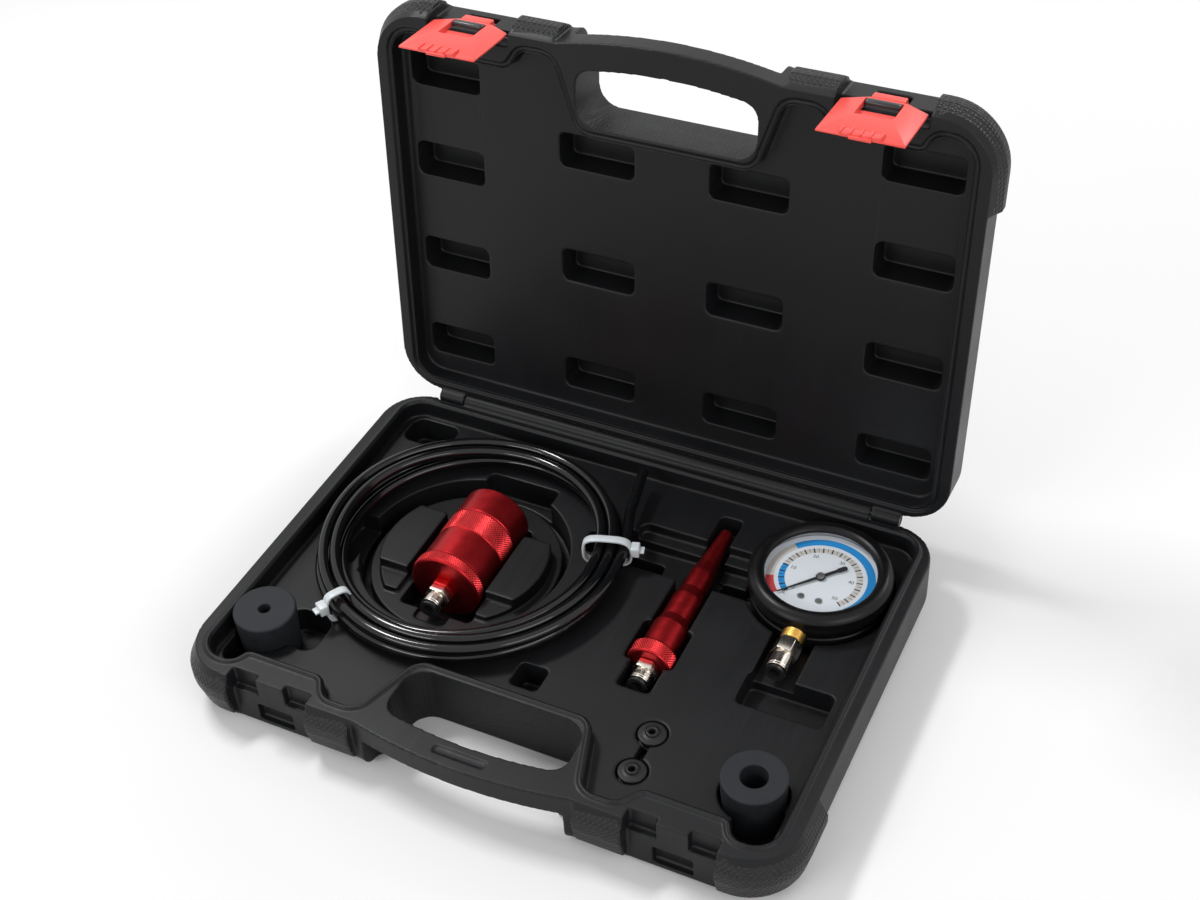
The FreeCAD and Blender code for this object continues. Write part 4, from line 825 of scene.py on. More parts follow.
def arc(
    centre: tuple[float, float], radius: float, start: float, end: float, steps: int
) -> list[tuple[float, float]]:
    """Gives points of a profile's arc.

    Args:
        centre: The arc's centre as (radius, height).
        radius: Its radius.
        start: First angle in degrees, from straight outward.
        end: Last angle.
        steps: Number of pieces.

    Returns:
        The points, both ends among them.
    """
    points = []
    for step in range(steps + 1):
        out, up = polar(radius, start + (end - start) * step / steps)
        points.append((centre[0] + out, centre[1] + up))
    return points


def prism(
    name: str,
    outline: Sequence[tuple[float, float]],
    low: float,
    high: float,
    material: bpy.types.Material,
    place: Matrix,
    bevel: float,
) -> bpy.types.Object:
    """Raises a flat outline between two heights and rounds its edges.

    Args:
        name: The object's name.
        outline: Its corners in millimetres.
        low: Height of its underside.
        high: Height of its top.
        material: Its finish.
        place: Where it stands, in metres.
        bevel: Width in millimetres of the rounding.

    Returns:
        The object.
    """
    shape = bmesh.new()
    bottom = [shape.verts.new((x * MM, y * MM, low * MM)) for x, y in outline]
    top = [shape.verts.new((x * MM, y * MM, high * MM)) for x, y in outline]
    shape.faces.new(bottom[::-1])
    shape.faces.new(top)
    for step in range(len(outline)):
        after = (step + 1) % len(outline)
        shape.faces.new((bottom[step], bottom[after], top[after], top[step]))
    piece = round_edges(from_bmesh(name, shape, material), bevel)
    piece.data.transform(place)
    return piece


def join(name: str, pieces: Iterable[bpy.types.Object]) -> bpy.types.Object:
    """Joins objects into one, with their finishes.

    Args:
        name: The new object's name.
        pieces: The objects, which are removed.

    Returns:
        The new object.
    """
    parts = list(pieces)
    shape = bmesh.new()
    materials: list[bpy.types.Material] = []
    for part in parts:
        start = len(shape.faces)
        shape.from_mesh(part.data)
        shape.faces.ensure_lookup_table()
        for face in shape.faces[start:]:
            own = part.data.materials[face.material_index]
            if own not in materials:
                materials.append(own)
            face.material_index = materials.index(own)
    data = bpy.data.meshes.new(name)
    shape.to_mesh(data)
    shape.free()
    for material in materials:
        data.materials.append(material)
    for part in parts:
        bpy.data.objects.remove(part)
    return linked(bpy.data.objects.new(name, data))


def settle(piece: bpy.types.Object, body: Body, slot: str, *nodes: str) -> bpy.types.Object:
    """Rides a piece on its body.

    Args:
        piece: The piece.
        body: The body it moves with.
        slot: The record's material slot it belongs to; not used.
        nodes: The CAD nodes it stands for, which are hidden.

    Returns:
        The piece.
    """
    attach(piece, body.value)
    if nodes:
        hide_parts(*nodes)
    return piece


def dress(material: bpy.types.Material, *nodes: str) -> None:
    """Gives kept CAD nodes a finish.

    Args:
        material: The finish.
        nodes: The nodes' names.
    """
    for node in nodes:
        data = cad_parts[node].data
        data.materials.clear()
        data.materials.append(material)


def outermost(node: str) -> bpy.types.Mesh:
    """Merges a copy of a CAD node and leaves its sealed inner walls out.

    Args:
        node: The node's name.

    Returns:
        Its outer skin.
    """
    shape = bmesh.new()
    shape.from_mesh(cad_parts[node].data)
    bmesh.ops.remove_doubles(shape, verts=shape.verts, dist=1e-6)
    todo = set(shape.faces)
    best: list[bmesh.types.BMFace] = []
    best_size = -1.0
    while todo:
        start = todo.pop()
        island = [start]
        stack = [start]
        while stack:
            face = stack.pop()
            for edge in face.edges:
                for other in edge.link_faces:
                    if other in todo:
                        todo.remove(other)
                        island.append(other)
                        stack.append(other)
        spots = [vertex.co for face in island for vertex in face.verts]
        size = max(spot.x for spot in spots) - min(spot.x for spot in spots)
        if size > best_size:
            best_size = size
            best = island
    keep = set(best)
    lost = [face for face in shape.faces if face not in keep]
    bmesh.ops.delete(shape, geom=lost, context="FACES")
    data = bpy.data.meshes.new(node + "_skin")
    shape.to_mesh(data)
    shape.free()
    return data


# ---------------------------------------------------------------- camera, floor and lamps


@dataclass
class Studio:
    lens: float = 53.36
    sensor: float = 36.0
    sight: float = 20.0
    spot: tuple[float, float, float] = (0.3320, -0.5739, 0.7204)
    azimuth: float = 28.06
    elevation: float = 41.33
    roll: float = -3.76
    floor_size: float = 6.0
    floor_height: float = -0.0002
    sky: float = 0.45
    aim: tuple[float, float, float] = (0.0, 0.03, 0.08)
    lamps: tuple[tuple, ...] = (
        ("key", (-0.75, 0.25, 1.35), (0.5, 0.16), 11.0),
        ("fill", (1.2, -0.6, 1.0), (1.0, 0.6), 6.0),
        ("rim", (0.5, 1.3, 1.0), (0.9, 0.14), 6.0),
        ("front", (-0.5, -1.2, 0.8), (0.7, 0.3), 5.0),
    )

    def build(self) -> None:
        """Makes the camera, then the floor, world and lamps."""
        self._camera()
        self._floor()
        self._world()
        for name, spot, size, power in self.lamps:
            self._lamp(name, spot, size, power)
        bpy.context.scene.view_settings.view_transform = "Standard"

    def _camera(self) -> None:
        side = math.radians(self.azimuth)
        rise = math.radians(self.elevation)
        flat = math.cos(rise)
        back = Vector((math.sin(side) * flat, -math.cos(side) * flat, math.sin(rise)))
        right = (-back).cross(Vector((0.0, 0.0, 1.0))).normalized()
        up = right.cross(-back)
        tilt = math.radians(self.roll)
        right_turned = right * math.cos(tilt) + up * math.sin(tilt)
        up_turned = up * math.cos(tilt) - right * math.sin(tilt)
        turn = Matrix((right_turned, up_turned, back)).transposed().to_4x4()
        data = bpy.data.cameras.new("camera")
        data.lens = self.lens
        data.sensor_width = self.sensor
        data.clip_end = self.sight
        camera = linked(bpy.data.objects.new("camera", data))
        camera.matrix_world = Matrix.Translation(Vector(self.spot)) @ turn
        bpy.context.scene.camera = camera

    def _floor(self) -> None:
        """Lays a wide pale floor."""
        shape = bmesh.new()
        half = self.floor_size / 2.0
        corners = [(-half, -half), (half, -half), (half, half), (-half, half)]
        shape.faces.new([shape.verts.new((x, y, self.floor_height)) for x, y in corners])
        shader = Shader("studio floor")
        shader.set(Base_Color=(0.9, 0.9, 0.9, 1.0), Roughness=0.9)
        from_bmesh("studio_floor", shape, shader.material)

    def _world(self) -> None:
        """White to the camera and to gloss, and a soft grey light to everything else."""
        world = bpy.data.worlds.new("studio")
        world.use_nodes = True
        bpy.context.scene.world = world
        graph = Graph(world.node_tree)
        graph.tree.nodes.clear()
        path = graph.node("ShaderNodeLightPath")
        seen = Signal(graph, path.outputs["Is Camera Ray"])
        for ray in ("Is Glossy Ray", "Is Transmission Ray"):
            seen = seen.math("MAXIMUM", path.outputs[ray])
        values = {"Color": (1.0, 1.0, 1.0, 1.0), "Strength": seen * (1.0 - self.sky) + self.sky}
        sky = graph.node("ShaderNodeBackground", None, values)
        graph.node("ShaderNodeOutputWorld", None, {"Surface": sky.outputs[0]})

    def _lamp(
        self, name: str, spot: tuple[float, float, float], size: tuple[float, float], power: float
    ) -> None:
        """Args:
            name: The lamp's name.
            spot: Its place in metres.
            size: Its width and height in metres.
            power: Its power in watts.
        """
        data = bpy.data.lights.new(name, "AREA")
        data.energy = power
        data.shape = "RECTANGLE"
        data.size, data.size_y = size
        lamp = linked(bpy.data.objects.new(name, data))
        aim = Vector(self.aim) - Vector(spot)
        turn = aim.to_track_quat("-Z", "Y").to_matrix().to_4x4()
        lamp.matrix_world = Matrix.Translation(Vector(spot)) @ turn


# ---------------------------------------------------------------- hose and ties


@dataclass
class Hose:
    """Coiled hose on one spline: lower turns wind inward, upper turns wind out to the free end."""

    centre: tuple[float, float] = (-67.5, 17.5)
    outer: float = 85.3
    radius: float = 3.0
    pitch: float = 6.35
    low: float = 31.3
    rise: float = 6.3
    turns: float = 4.55
    lower_turns: float = 2.0
    climb: float = 0.6
    bulge: float = 0.9
    start: float = 180.7
    wave: float = 0.35
    wave_turn: float = 40.0
    ripple: float = 0.5
    rear: tuple[float, float] = (125.0, 0.22)
    front: tuple[float, float] = (308.0, 0.12)
    spring: float = 3.5
    spring_turn: float = 165.0
    steps: int = 14
    free_end: tuple[tuple[float, float, float], ...] = (
        (4.4, 70.6, 37.2),
        (3.2, 81.0, 37.8),
        (0.8, 91.5, 38.6),
        (-1.2, 102.0, 39.4),
    )

    def section(self, turn: float) -> tuple[float, float]:
        """Follows the hose through the coil's section.

        Args:
            turn: Number of turns from its start.

        Returns:
            The distance in from the outer lane, and the height.
        """
        if turn <= self.lower_turns:
            return self.pitch * turn, self.low
        inner = self.lower_turns * self.pitch
        if turn <= self.lower_turns + self.climb:
            share = (turn - self.lower_turns) / self.climb
            lift = self.rise * (1.0 - math.cos(math.pi * share)) / 2.0
            return inner + self.bulge * math.sin(math.pi * share), self.low + lift
        return inner - self.pitch * (turn - self.lower_turns - self.climb), self.low + self.rise

    def fan(self, angle: float) -> float:
        """Spreads the turns apart between the ties.

        Args:
            angle: Place round the coil in degrees.

        Returns:
            The spread, 1 where the turns lie side by side.
        """
        (rear, rear_share), (front, front_share) = self.rear, self.front
        behind = max(0.0, math.cos(math.radians(angle - rear))) ** 2
        ahead = max(0.0, math.cos(math.radians(angle - front))) ** 2
        return 1.0 + rear_share * behind + front_share * ahead

    def route(self) -> list[Vector]:
        """Winds the hose's control points.

        Returns:
            The points in metres, from the hidden end to the free end.
        """
        points = []
        count = int(self.turns * self.steps)
        for step in range(count + 1):
            turn = self.turns * step / count
            angle = self.start + 360.0 * turn
            inward, height = self.section(turn)
            wave = self.wave * math.sin(math.radians(angle * 3.0 + self.wave_turn))
            reach = self.outer - inward * self.fan(angle) - abs(wave)
            lift = self.ripple * math.sin(math.radians(2.0 * angle)) ** 2
            if height > self.low + self.rise / 2.0:
                swell = max(0.0, math.cos(math.radians(angle - self.spring_turn)))
                lift += self.spring * swell**4
            x, y = polar(reach / math.cos(math.pi / self.steps), angle)
            place = Vector((self.centre[0] + x, self.centre[1] + y, height + lift))
            points.append(place * MM)
        return points + [Vector(point) * MM for point in self.free_end]

    def build(self, finishes: Finishes, ties: Sequence[bpy.types.Object]) -> None:
        """Args:
            ties: The cable ties on it; not used.
        """
        data = bpy.data.curves.new("hose", "CURVE")
        data.dimensions = "3D"
        points = self.route()
        spline = data.splines.new("NURBS")
        spline.points.add(len(points) - 1)
        for target, point in zip(spline.points, points):
            target.co = (*point, 1.0)
        spline.order_u = 3
        spline.use_endpoint_u = True
        data.resolution_u = 8
        line = linked(bpy.data.objects.new("hose", data))
        bare = plain_mesh(line)
        spots = [vertex.co.copy() for vertex in bare.vertices]
        bpy.data.meshes.remove(bare)
        length = sum((after - before).length for before, after in zip(spots, spots[1:]))
        data.bevel_depth = self.radius * MM
        data.bevel_resolution = 5
        data.use_fill_caps = True
        data.materials.append(finishes.hose)
        settle(line, Body.HOSE, "hose_plastic", "hose_coil", "hose_end")
        2.0 * self.radius * MM
        LOG.info("hose is %.3f m long", length)


@dataclass
class CableTie:
    """A flat strap round the coil's section, with its ratchet head and cut tail outside."""

    node: str
    angle: float
    coil_centre: tuple[float, float] = (-67.5, 17.5)
    coil_outer: float = 88.5
    hole_centre: tuple[float, float] = (-74.0, 15.0)
    hole_radius: float = 71.0
    low: float = 27.6
    high: float = 44.2
    play: float = 0.5
    strap: float = 1.2
    width: float = 4.6
    squareness: float = 3.4
    head: tuple[float, float] = (4.6, 6.6)
    tail: tuple[float, float] = (7.2, 4.6)
    steps: int = 72

    def build(self, finishes: Finishes) -> bpy.types.Object:
        """Makes the loop, head and tail as one piece.


        Returns:
            The tie.
        """
        ray = Vector(polar(1.0, self.angle))
        aside = Vector(self.coil_centre) - Vector(self.hole_centre)
        along = aside.dot(ray)
        inside = math.sqrt(along**2 - aside.dot(aside) + self.hole_radius**2) - along
        half = (self.coil_outer - inside) / 2.0 + self.play
        spot = Vector(self.coil_centre) + ray * ((self.coil_outer + inside) / 2.0)
        place = at(spot.x, spot.y) @ Matrix.Rotation(math.radians(self.angle), 4, "Z")
        loop = self._loop(half, finishes.tie)
        loop.data.transform(place)
        edge = half + self.strap / 2.0
        ends = (
            ("head", edge, edge + self.head[0], self.head[1] / 2.0, 9.0, 3.0, 0.5),
            ("tail", edge + 4.0, edge + self.tail[0], self.tail[1] / 2.0, 6.6, 5.4, 0.2),
        )
        pieces = [loop]
        for name, near, far, side, down, up, bevel in ends:
            outline = [(near, -side), (far, -side), (far, side), (near, side)]
            low, high = self.high - down, self.high - up
            name = f"{self.node}_{name}"
            pieces.append(prism(name, outline, low, high, finishes.tie, place, bevel))
        piece = join(self.node + "_strap", pieces)
        return settle(piece, Body.HOSE, "tie_plastic", self.node)

    def _loop(self, half: float, nylon: bpy.types.Material) -> bpy.types.Object:
        """Makes the strap's loop about the origin.

        Args:
            half: Half the width of what it holds, in millimetres.
            nylon: Its finish.

        Returns:
            The loop.
        """
        centre = (self.low + self.high) / 2.0
        tall = (self.high - self.low) / 2.0
        power = self.squareness
        shape = bmesh.new()
        rings = []
        for step in range(self.steps):
            turn = 2.0 * math.pi * step / self.steps
            cosine, sine = math.cos(turn), math.sin(turn)
            grow = (abs(cosine) ** power + abs(sine) ** power) ** (-1.0 / power)
            ring = []
            for extra, side in ((0.0, -1.0), (self.strap, -1.0), (self.strap, 1.0), (0.0, 1.0)):
                x = (half + extra) * grow * cosine
                z = centre + (tall + extra) * grow * sine
                ring.append(shape.verts.new((x * MM, side * self.width / 2.0 * MM, z * MM)))
            rings.append(ring)
        for before, after in zip(rings, rings[1:] + rings[:1]):
            for n in range(4):
                m = (n + 1) % 4
                shape.faces.new((before[n], before[m], after[m], after[n]))
        return round_edges(from_bmesh(self.node + "_loop", shape, nylon), 0.25, 2, 50.0)


# ---------------------------------------------------------------- case


@dataclass
class MouldedPiece:
    """A CAD node's outer skin with the soft edges of a moulding."""

    node: str
    body: Body
    upright: Matrix
    voxel: float = 0.6
    quick_voxel: float = 1.2
    smoothing: int = 6
    faces: int = 190000

    def build(self, material: bpy.types.Material) -> bpy.types.Object:
        """Remeshes the node in its moulding position, softens it and thins flat regions.

        Args:
            material: Its finish.

        Returns:
            The moulding.
        """
        data = outermost(self.node)
        data.transform(self.upright.inverted())
        piece = linked(bpy.data.objects.new(self.node + "_moulding", data))
        remesh = piece.modifiers.new("Remesh", "REMESH")
        remesh.mode = "VOXEL"
        remesh.voxel_size = self.voxel * MM
        soften = piece.modifiers.new("Soften", "SMOOTH")
        soften.factor = 0.5
        soften.iterations = self.smoothing
        apply_modifiers(piece)
        count = len(piece.data.polygons) * 2
        if count > self.faces:
            thin = piece.modifiers.new("Thin", "DECIMATE")
            thin.ratio = self.faces / count
            apply_modifiers(piece)
        piece.data.transform(self.upright)
        piece.data.materials.clear()
        piece.data.materials.append(material)
        shade_smooth(piece.data)
        return settle(piece, self.body, "case_plastic", self.node)


@dataclass
class CarryCase:
    """Base, lid and latches of the blow-moulded case."""

    width: float = 340.0
    front: float = 120.0
    corner: float = 28.0
    slot_half: float = 51.5
    slot_rear: float = 75.0
    slot_front: float = 111.0
    bumper_rear: float = -72.0
    bumper_inner: float = 62.5
    bumper_proud: float = 1.6
    flat: float = 0.93

    def build(self, finishes: Finishes) -> None:
        """Makes both halves with pimpled bumpers, and the latches.
        """
        base = MouldedPiece("case_base", Body.BASE, Matrix.Identity(4))
        lid = MouldedPiece("case_lid", Body.LID, LID_TURN)
        for half in (base, lid):
            self._pimple(half.build(finishes.case).data, finishes, half.upright.inverted())
        Latch("latch_right", Body.RIGHT_LATCH, 1.0).build(finishes)
        Latch("latch_left", Body.LEFT_LATCH, -1.0).build(finishes)
        dress(finishes.steel, "hinge_pin")

    def _pimple(self, half: bpy.types.Mesh, finishes: Finishes, back: Matrix) -> None:
        """Gives the handle bar's and the bumpers' faces their pimpled finishes.

        Args:
            half: The mesh of one half of the case.
            back: The turn that takes the half to its moulding position.
        """
        half.materials.append(finishes.case_grip)
        half.materials.append(finishes.case_fine)
        turn = back.to_3x3()
        for face in half.polygons:
            spot = (back @ face.center) / MM
            if spot.y > self.bumper_rear or abs((turn @ face.normal).z) > self.flat:
                continue
            if abs(spot.x) < self.slot_half and -self.slot_front < spot.y < -self.slot_rear:
                face.material_index = 2
            elif abs(spot.x) > self.bumper_inner and self._proud(spot) > self.bumper_proud:
                face.material_index = 1

    def _proud(self, spot: Vector) -> float:
        """Measures how far a point stands out from the case's outline.

        Args:
            spot: The point in millimetres.

        Returns:
            The distance in millimetres.
        """
        across = abs(spot.x) - (self.width / 2.0 - self.corner)
        ahead = -spot.y - (self.front - self.corner)
        if across > 0.0 and ahead > 0.0:
            return math.hypot(across, ahead) - self.corner
        return (across if across > 0.0 else ahead) - self.corner


@dataclass
class Latch:
    """Red over-centre latch, in the frame of its pivot: the plate hangs down in front of it.

    The plate is a frame that falls from its window's rim to its edges, with a ribbed grip at the
    free end and a hook behind.
    """

    node: str
    body: Body
    side: float
    place: float = 113.0
    pivot: tuple[float, float] = (-114.4, 51.0)
    half: float = 22.0
    end: float = -47.0
    shoulder: float = -11.0
    top: float = -4.0
    top_half: float = 9.5
    back: float = -2.9
    edge: float = -4.1
    crest: float = -6.4
    window_half: float = 9.6
    window: tuple[float, float] = (-28.0, -10.0)
    neck: float = 8.5
    axle: float = 1.5
    axle_reach: float = 10.6
    collar: float = 2.4
    ribs: tuple[float, ...] = (-9.8, -4.9, 0.0, 4.9, 9.8)
    catch_low: float = -14.8

    def build(self, finishes: Finishes) -> None:
        """Makes the latch, and the lid's catch block that stands in its window.
        """
        pose = LID_TURN @ at(self.side * self.place, *self.pivot)
        red = finishes.latch
        low, high = self.window
        bars = (
            ("floor", (0.0, 9.7), (low + 1.6, low + 9.2), (-3.7, self.back), 0.15),
            ("hook", (0.0, 9.4), (-37.4, -34.6), (-4.0, 0.0), 0.4),
            ("neck", (0.0, self.neck), (-6.0, -0.2), (-5.2, self.back), 0.5),
            ("web", (0.0, self.neck), (-2.3, -0.1), (-3.4, 0.0), 0.2),
        )
        pieces = [self._frame(red, pose)]
        pieces += [self._bar(*bar, red, pose) for bar in bars]
        pieces.append(self._grip(red, pose))
        pieces.append(self._axle(red, pose))
        settle(join(self.node + "_moulding", pieces), self.body, "latch_plastic", self.node)
        tall = (self.catch_low, high - 0.6)
        block = self._bar("catch", (0.0, 9.0), tall, (-7.1, -2.3), 1.3, finishes.collet, pose)
        settle(block, Body.LID, "case_plastic")

    def _bar(
        self,
        name: str,
        across: tuple[float, float],
        tall: tuple[float, float],
        deep: tuple[float, float],
        bevel: float,
        material: bpy.types.Material,
        pose: Matrix,
    ) -> bpy.types.Object:
        """Makes an upright bar.

        Args:
            name: What it is, after the latch's own name.
            across: Its middle and half width along the pivot.
            tall: Its lower and upper end.
            deep: Its front and back.
            bevel: The rounding of its edges in millimetres.
            material: Its finish.
            pose: The latch's frame.

        Returns:
            The bar.
        """
        middle, half = across
        left, right = middle - half, middle + half
        front, back = deep
        outline = [(left, front), (right, front), (right, back), (left, back)]
        return prism(f"{self.node}_{name}", outline, *tall, material, pose, bevel)

    def _frame(self, material: bpy.types.Material, pose: Matrix) -> bpy.types.Object:
        """Makes the plate with sloping faces round its window.

        Args:
            material: Its finish.
            pose: The latch's frame.

        Returns:
            The plate.
        """
        half, top, hole = self.half, self.top_half, self.window_half
        low, high = self.window
        outer = [
            (-half, self.end), (half, self.end), (half, self.shoulder),
            (top, self.top), (-top, self.top), (-half, self.shoulder),
        ]
        inner = [(-hole, low), (hole, low), (hole, high), (-hole, high)]
        shape = bmesh.new()

        def ring(points: list[tuple[float, float]], depth: float) -> list[bmesh.types.BMVert]:
            """A loop of corners at one depth."""
            return [shape.verts.new((x * MM, depth * MM, z * MM)) for x, z in points]

        edge, under = ring(outer, self.edge), ring(outer, self.back)
        crest, rim = ring(inner, self.crest), ring(inner, self.back)
        for n, m, a, b in ((0, 1, 0, 1), (1, 2, 1, 2), (3, 4, 2, 3), (5, 0, 3, 0)):
            shape.faces.new((edge[n], edge[m], crest[b], crest[a]))
            shape.faces.new((under[n], under[m], rim[b], rim[a]))
        for n, m, a in ((2, 3, 2), (4, 5, 3)):
            shape.faces.new((edge[n], edge[m], crest[a]))
            shape.faces.new((under[n], under[m], rim[a]))
        for loop, beyond in ((edge, under), (crest, rim)):
            for n in range(len(loop)):
                m = (n + 1) % len(loop)
                shape.faces.new((loop[n], loop[m], beyond[m], beyond[n]))
        plate = from_bmesh(self.node + "_frame", shape, material)
        round_edges(plate, 0.35, 2, 8.0)
        plate.data.transform(pose)
        return plate

    def _grip(self, material: bpy.types.Material, pose: Matrix) -> bpy.types.Object:
        """Makes the stepped thumb grip with upright ribs at the free end.

        Args:
            material: Its finish.
            pose: The latch's frame.

        Returns:
            The grip.
        """
        foot = self.end
        bars = [
            ("grip", (0.0, 10.4), (foot - 0.2, foot + 5.2), (-5.3, self.back), 0.5),
            ("lip", (0.4, 5.6), (foot - 1.6, foot + 2.0), (-4.6, self.back), 0.4),
        ]
        for n, middle in enumerate(self.ribs):
            bars.append((f"rib_{n}", (middle, 0.6), (foot - 0.6, foot + 6.0), (-6.0, -4.6), 0.3))
        return join(self.node + "_grip", [self._bar(*bar, material, pose) for bar in bars])

    def _axle(self, material: bpy.types.Material, pose: Matrix) -> bpy.types.Object:
        """Turns the pivot's stubs and collars.

        Args:
            material: Its finish.
            pose: The latch's frame.

        Returns:
            The axle.
        """
        stub, ring, end, neck = self.axle, self.collar, self.axle_reach, self.neck
        rod = [(0.0, -end), (stub - 0.2, -end), (stub, 0.2 - end), (stub, -neck)]
        rod += [(ring - 0.2, -neck), (ring, 0.2 - neck)]
        rod += [(radius, -height) for radius, height in reversed(rod)]
        turn = pose @ Matrix.Rotation(math.radians(90.0), 4, "Y")
        return lathe(self.node + "_pivot", rod, material, turn, 32)


# ---------------------------------------------------------------- fittings


@dataclass
class PushInFitting:
    """Nickel hexagon and barrel with a black release collet, pointing forward from its seat."""

    prefix: str
    body: Body
    seat: tuple[float, float, float]
    hex_length: float
    barrel_length: float
    hex_width: float = 13.0
    barrel: float = 5.8
    mouth: float = 4.6
    mouth_depth: float = 7.0
    spigot: float = 4.85
    spigot_length: float = 6.0
    bore: float = 2.0
    relief: float = 0.3

    def build(self, finishes: Finishes) -> None:
        """Makes hexagon and barrel with its groove, and dresses the collet, gripper and O-ring.
        """
        place = at(*self.seat) @ TO_FRONT
        start = self.hex_length
        end = start + self.barrel_length
        nickel = finishes.nickel
        outline = hexagon(self.hex_width)
        low, high = self.relief, start - self.relief
        nut = prism(self.prefix + "_nut", outline, low, high, nickel, place, 0.35)
        wide, slim, neck = self.barrel, self.barrel - self.relief, self.barrel - 0.5
        profile = [
            (self.bore, -self.spigot_length), (self.spigot, -self.spigot_length),
            (self.spigot, 0.6), (neck, 0.6), (neck, start + 1.1), (wide, start + 1.5),
            (wide, end - 1.7), (slim, end - 1.5), (slim, end - 1.2), (wide, end - 1.0),
            (wide, end - self.relief), (slim, end), (self.mouth, end),
            (self.mouth, end - self.mouth_depth), (self.bore, end - self.mouth_depth),
        ]
        shell = lathe(self.prefix + "_shell", profile, nickel, place, 72)
        whole = join(self.prefix + "_push_fitting", (nut, shell))
        settle(whole, self.body, "nickel", self.prefix + "_fitting")
        dress(finishes.collet, self.prefix + "_collet")
        dress(finishes.steel, self.prefix + "_gripper")
        dress(finishes.seal, self.prefix + "_oring")


@dataclass
class Knurl:
    """Diamond knurling on a cylinder that lies along Y, grown by a geometry tree."""

    name: str
    radius: float
    height: float
    low: float
    high: float
    centre: tuple[float, float]
    pitch: float = 1.6
    overlap: float = 0.52
    tip: float = 0.00001

    def build(self, material: bpy.types.Material) -> bpy.types.Object:
        """Makes rows of small pyramids, each row half a pitch round from the last.

        Args:
            material: Its finish.

        Returns:
            The knurling.
        """
        around = int(2.0 * math.pi * self.radius / self.pitch)
        rows = max(2, int((self.high - self.low) / (self.pitch / 2.0)) - 1)
        step = (self.high - self.low) / (rows + 1)
        tree = GeometryTree(self.name, {
            "Around": around,
            "Rows": rows,
            "Radius": self.radius * MM,
            "Start": (self.low + step) * MM,
            "Step": step * MM,
            "Half pitch": self.pitch * self.overlap * MM,
            "Height": self.height * MM,
            "Centre X": self.centre[0] * MM,
            "Centre Z": self.centre[1] * MM,
        })
        index = tree.signal("GeometryNodeInputIndex", 0)
        ring = tree.size("Around")
        row = (index / ring).floor()
        angle = (index.modulo(ring) + row.modulo(2.0) * 0.5) / ring * (2.0 * math.pi)
        x = angle.sine() * tree.size("Radius") + tree.size("Centre X")
        z = angle.cosine() * tree.size("Radius") + tree.size("Centre Z")
        y = row * tree.size("Step") + tree.size("Start")
        values = {
            "Vertices": 4,
            "Radius Top": self.tip,
            "Radius Bottom": tree.size("Half pitch"),
            "Depth": tree.size("Height"),
        }
        cone = tree.signal("GeometryNodeMeshCone", 0, {"fill_type": "NONE"}, values)
        values = {0: cone, "Shade Smooth": False}
        flat = tree.signal("GeometryNodeSetShadeSmooth", 0, None, values)
        values = {0: flat, "Translation": (0.0, 0.0, -self.tip)}
        sunk = tree.signal("GeometryNodeTransform", 0, None, values)
        places, turns = tree.vector(x, y, z), tree.vector(0.0, angle, 0.0)
        crowd = tree.scatter(ring * tree.size("Rows"), places, turns, sunk)
        return tree.mesh(self.name, crowd, material)


# ---------------------------------------------------------------- adapters


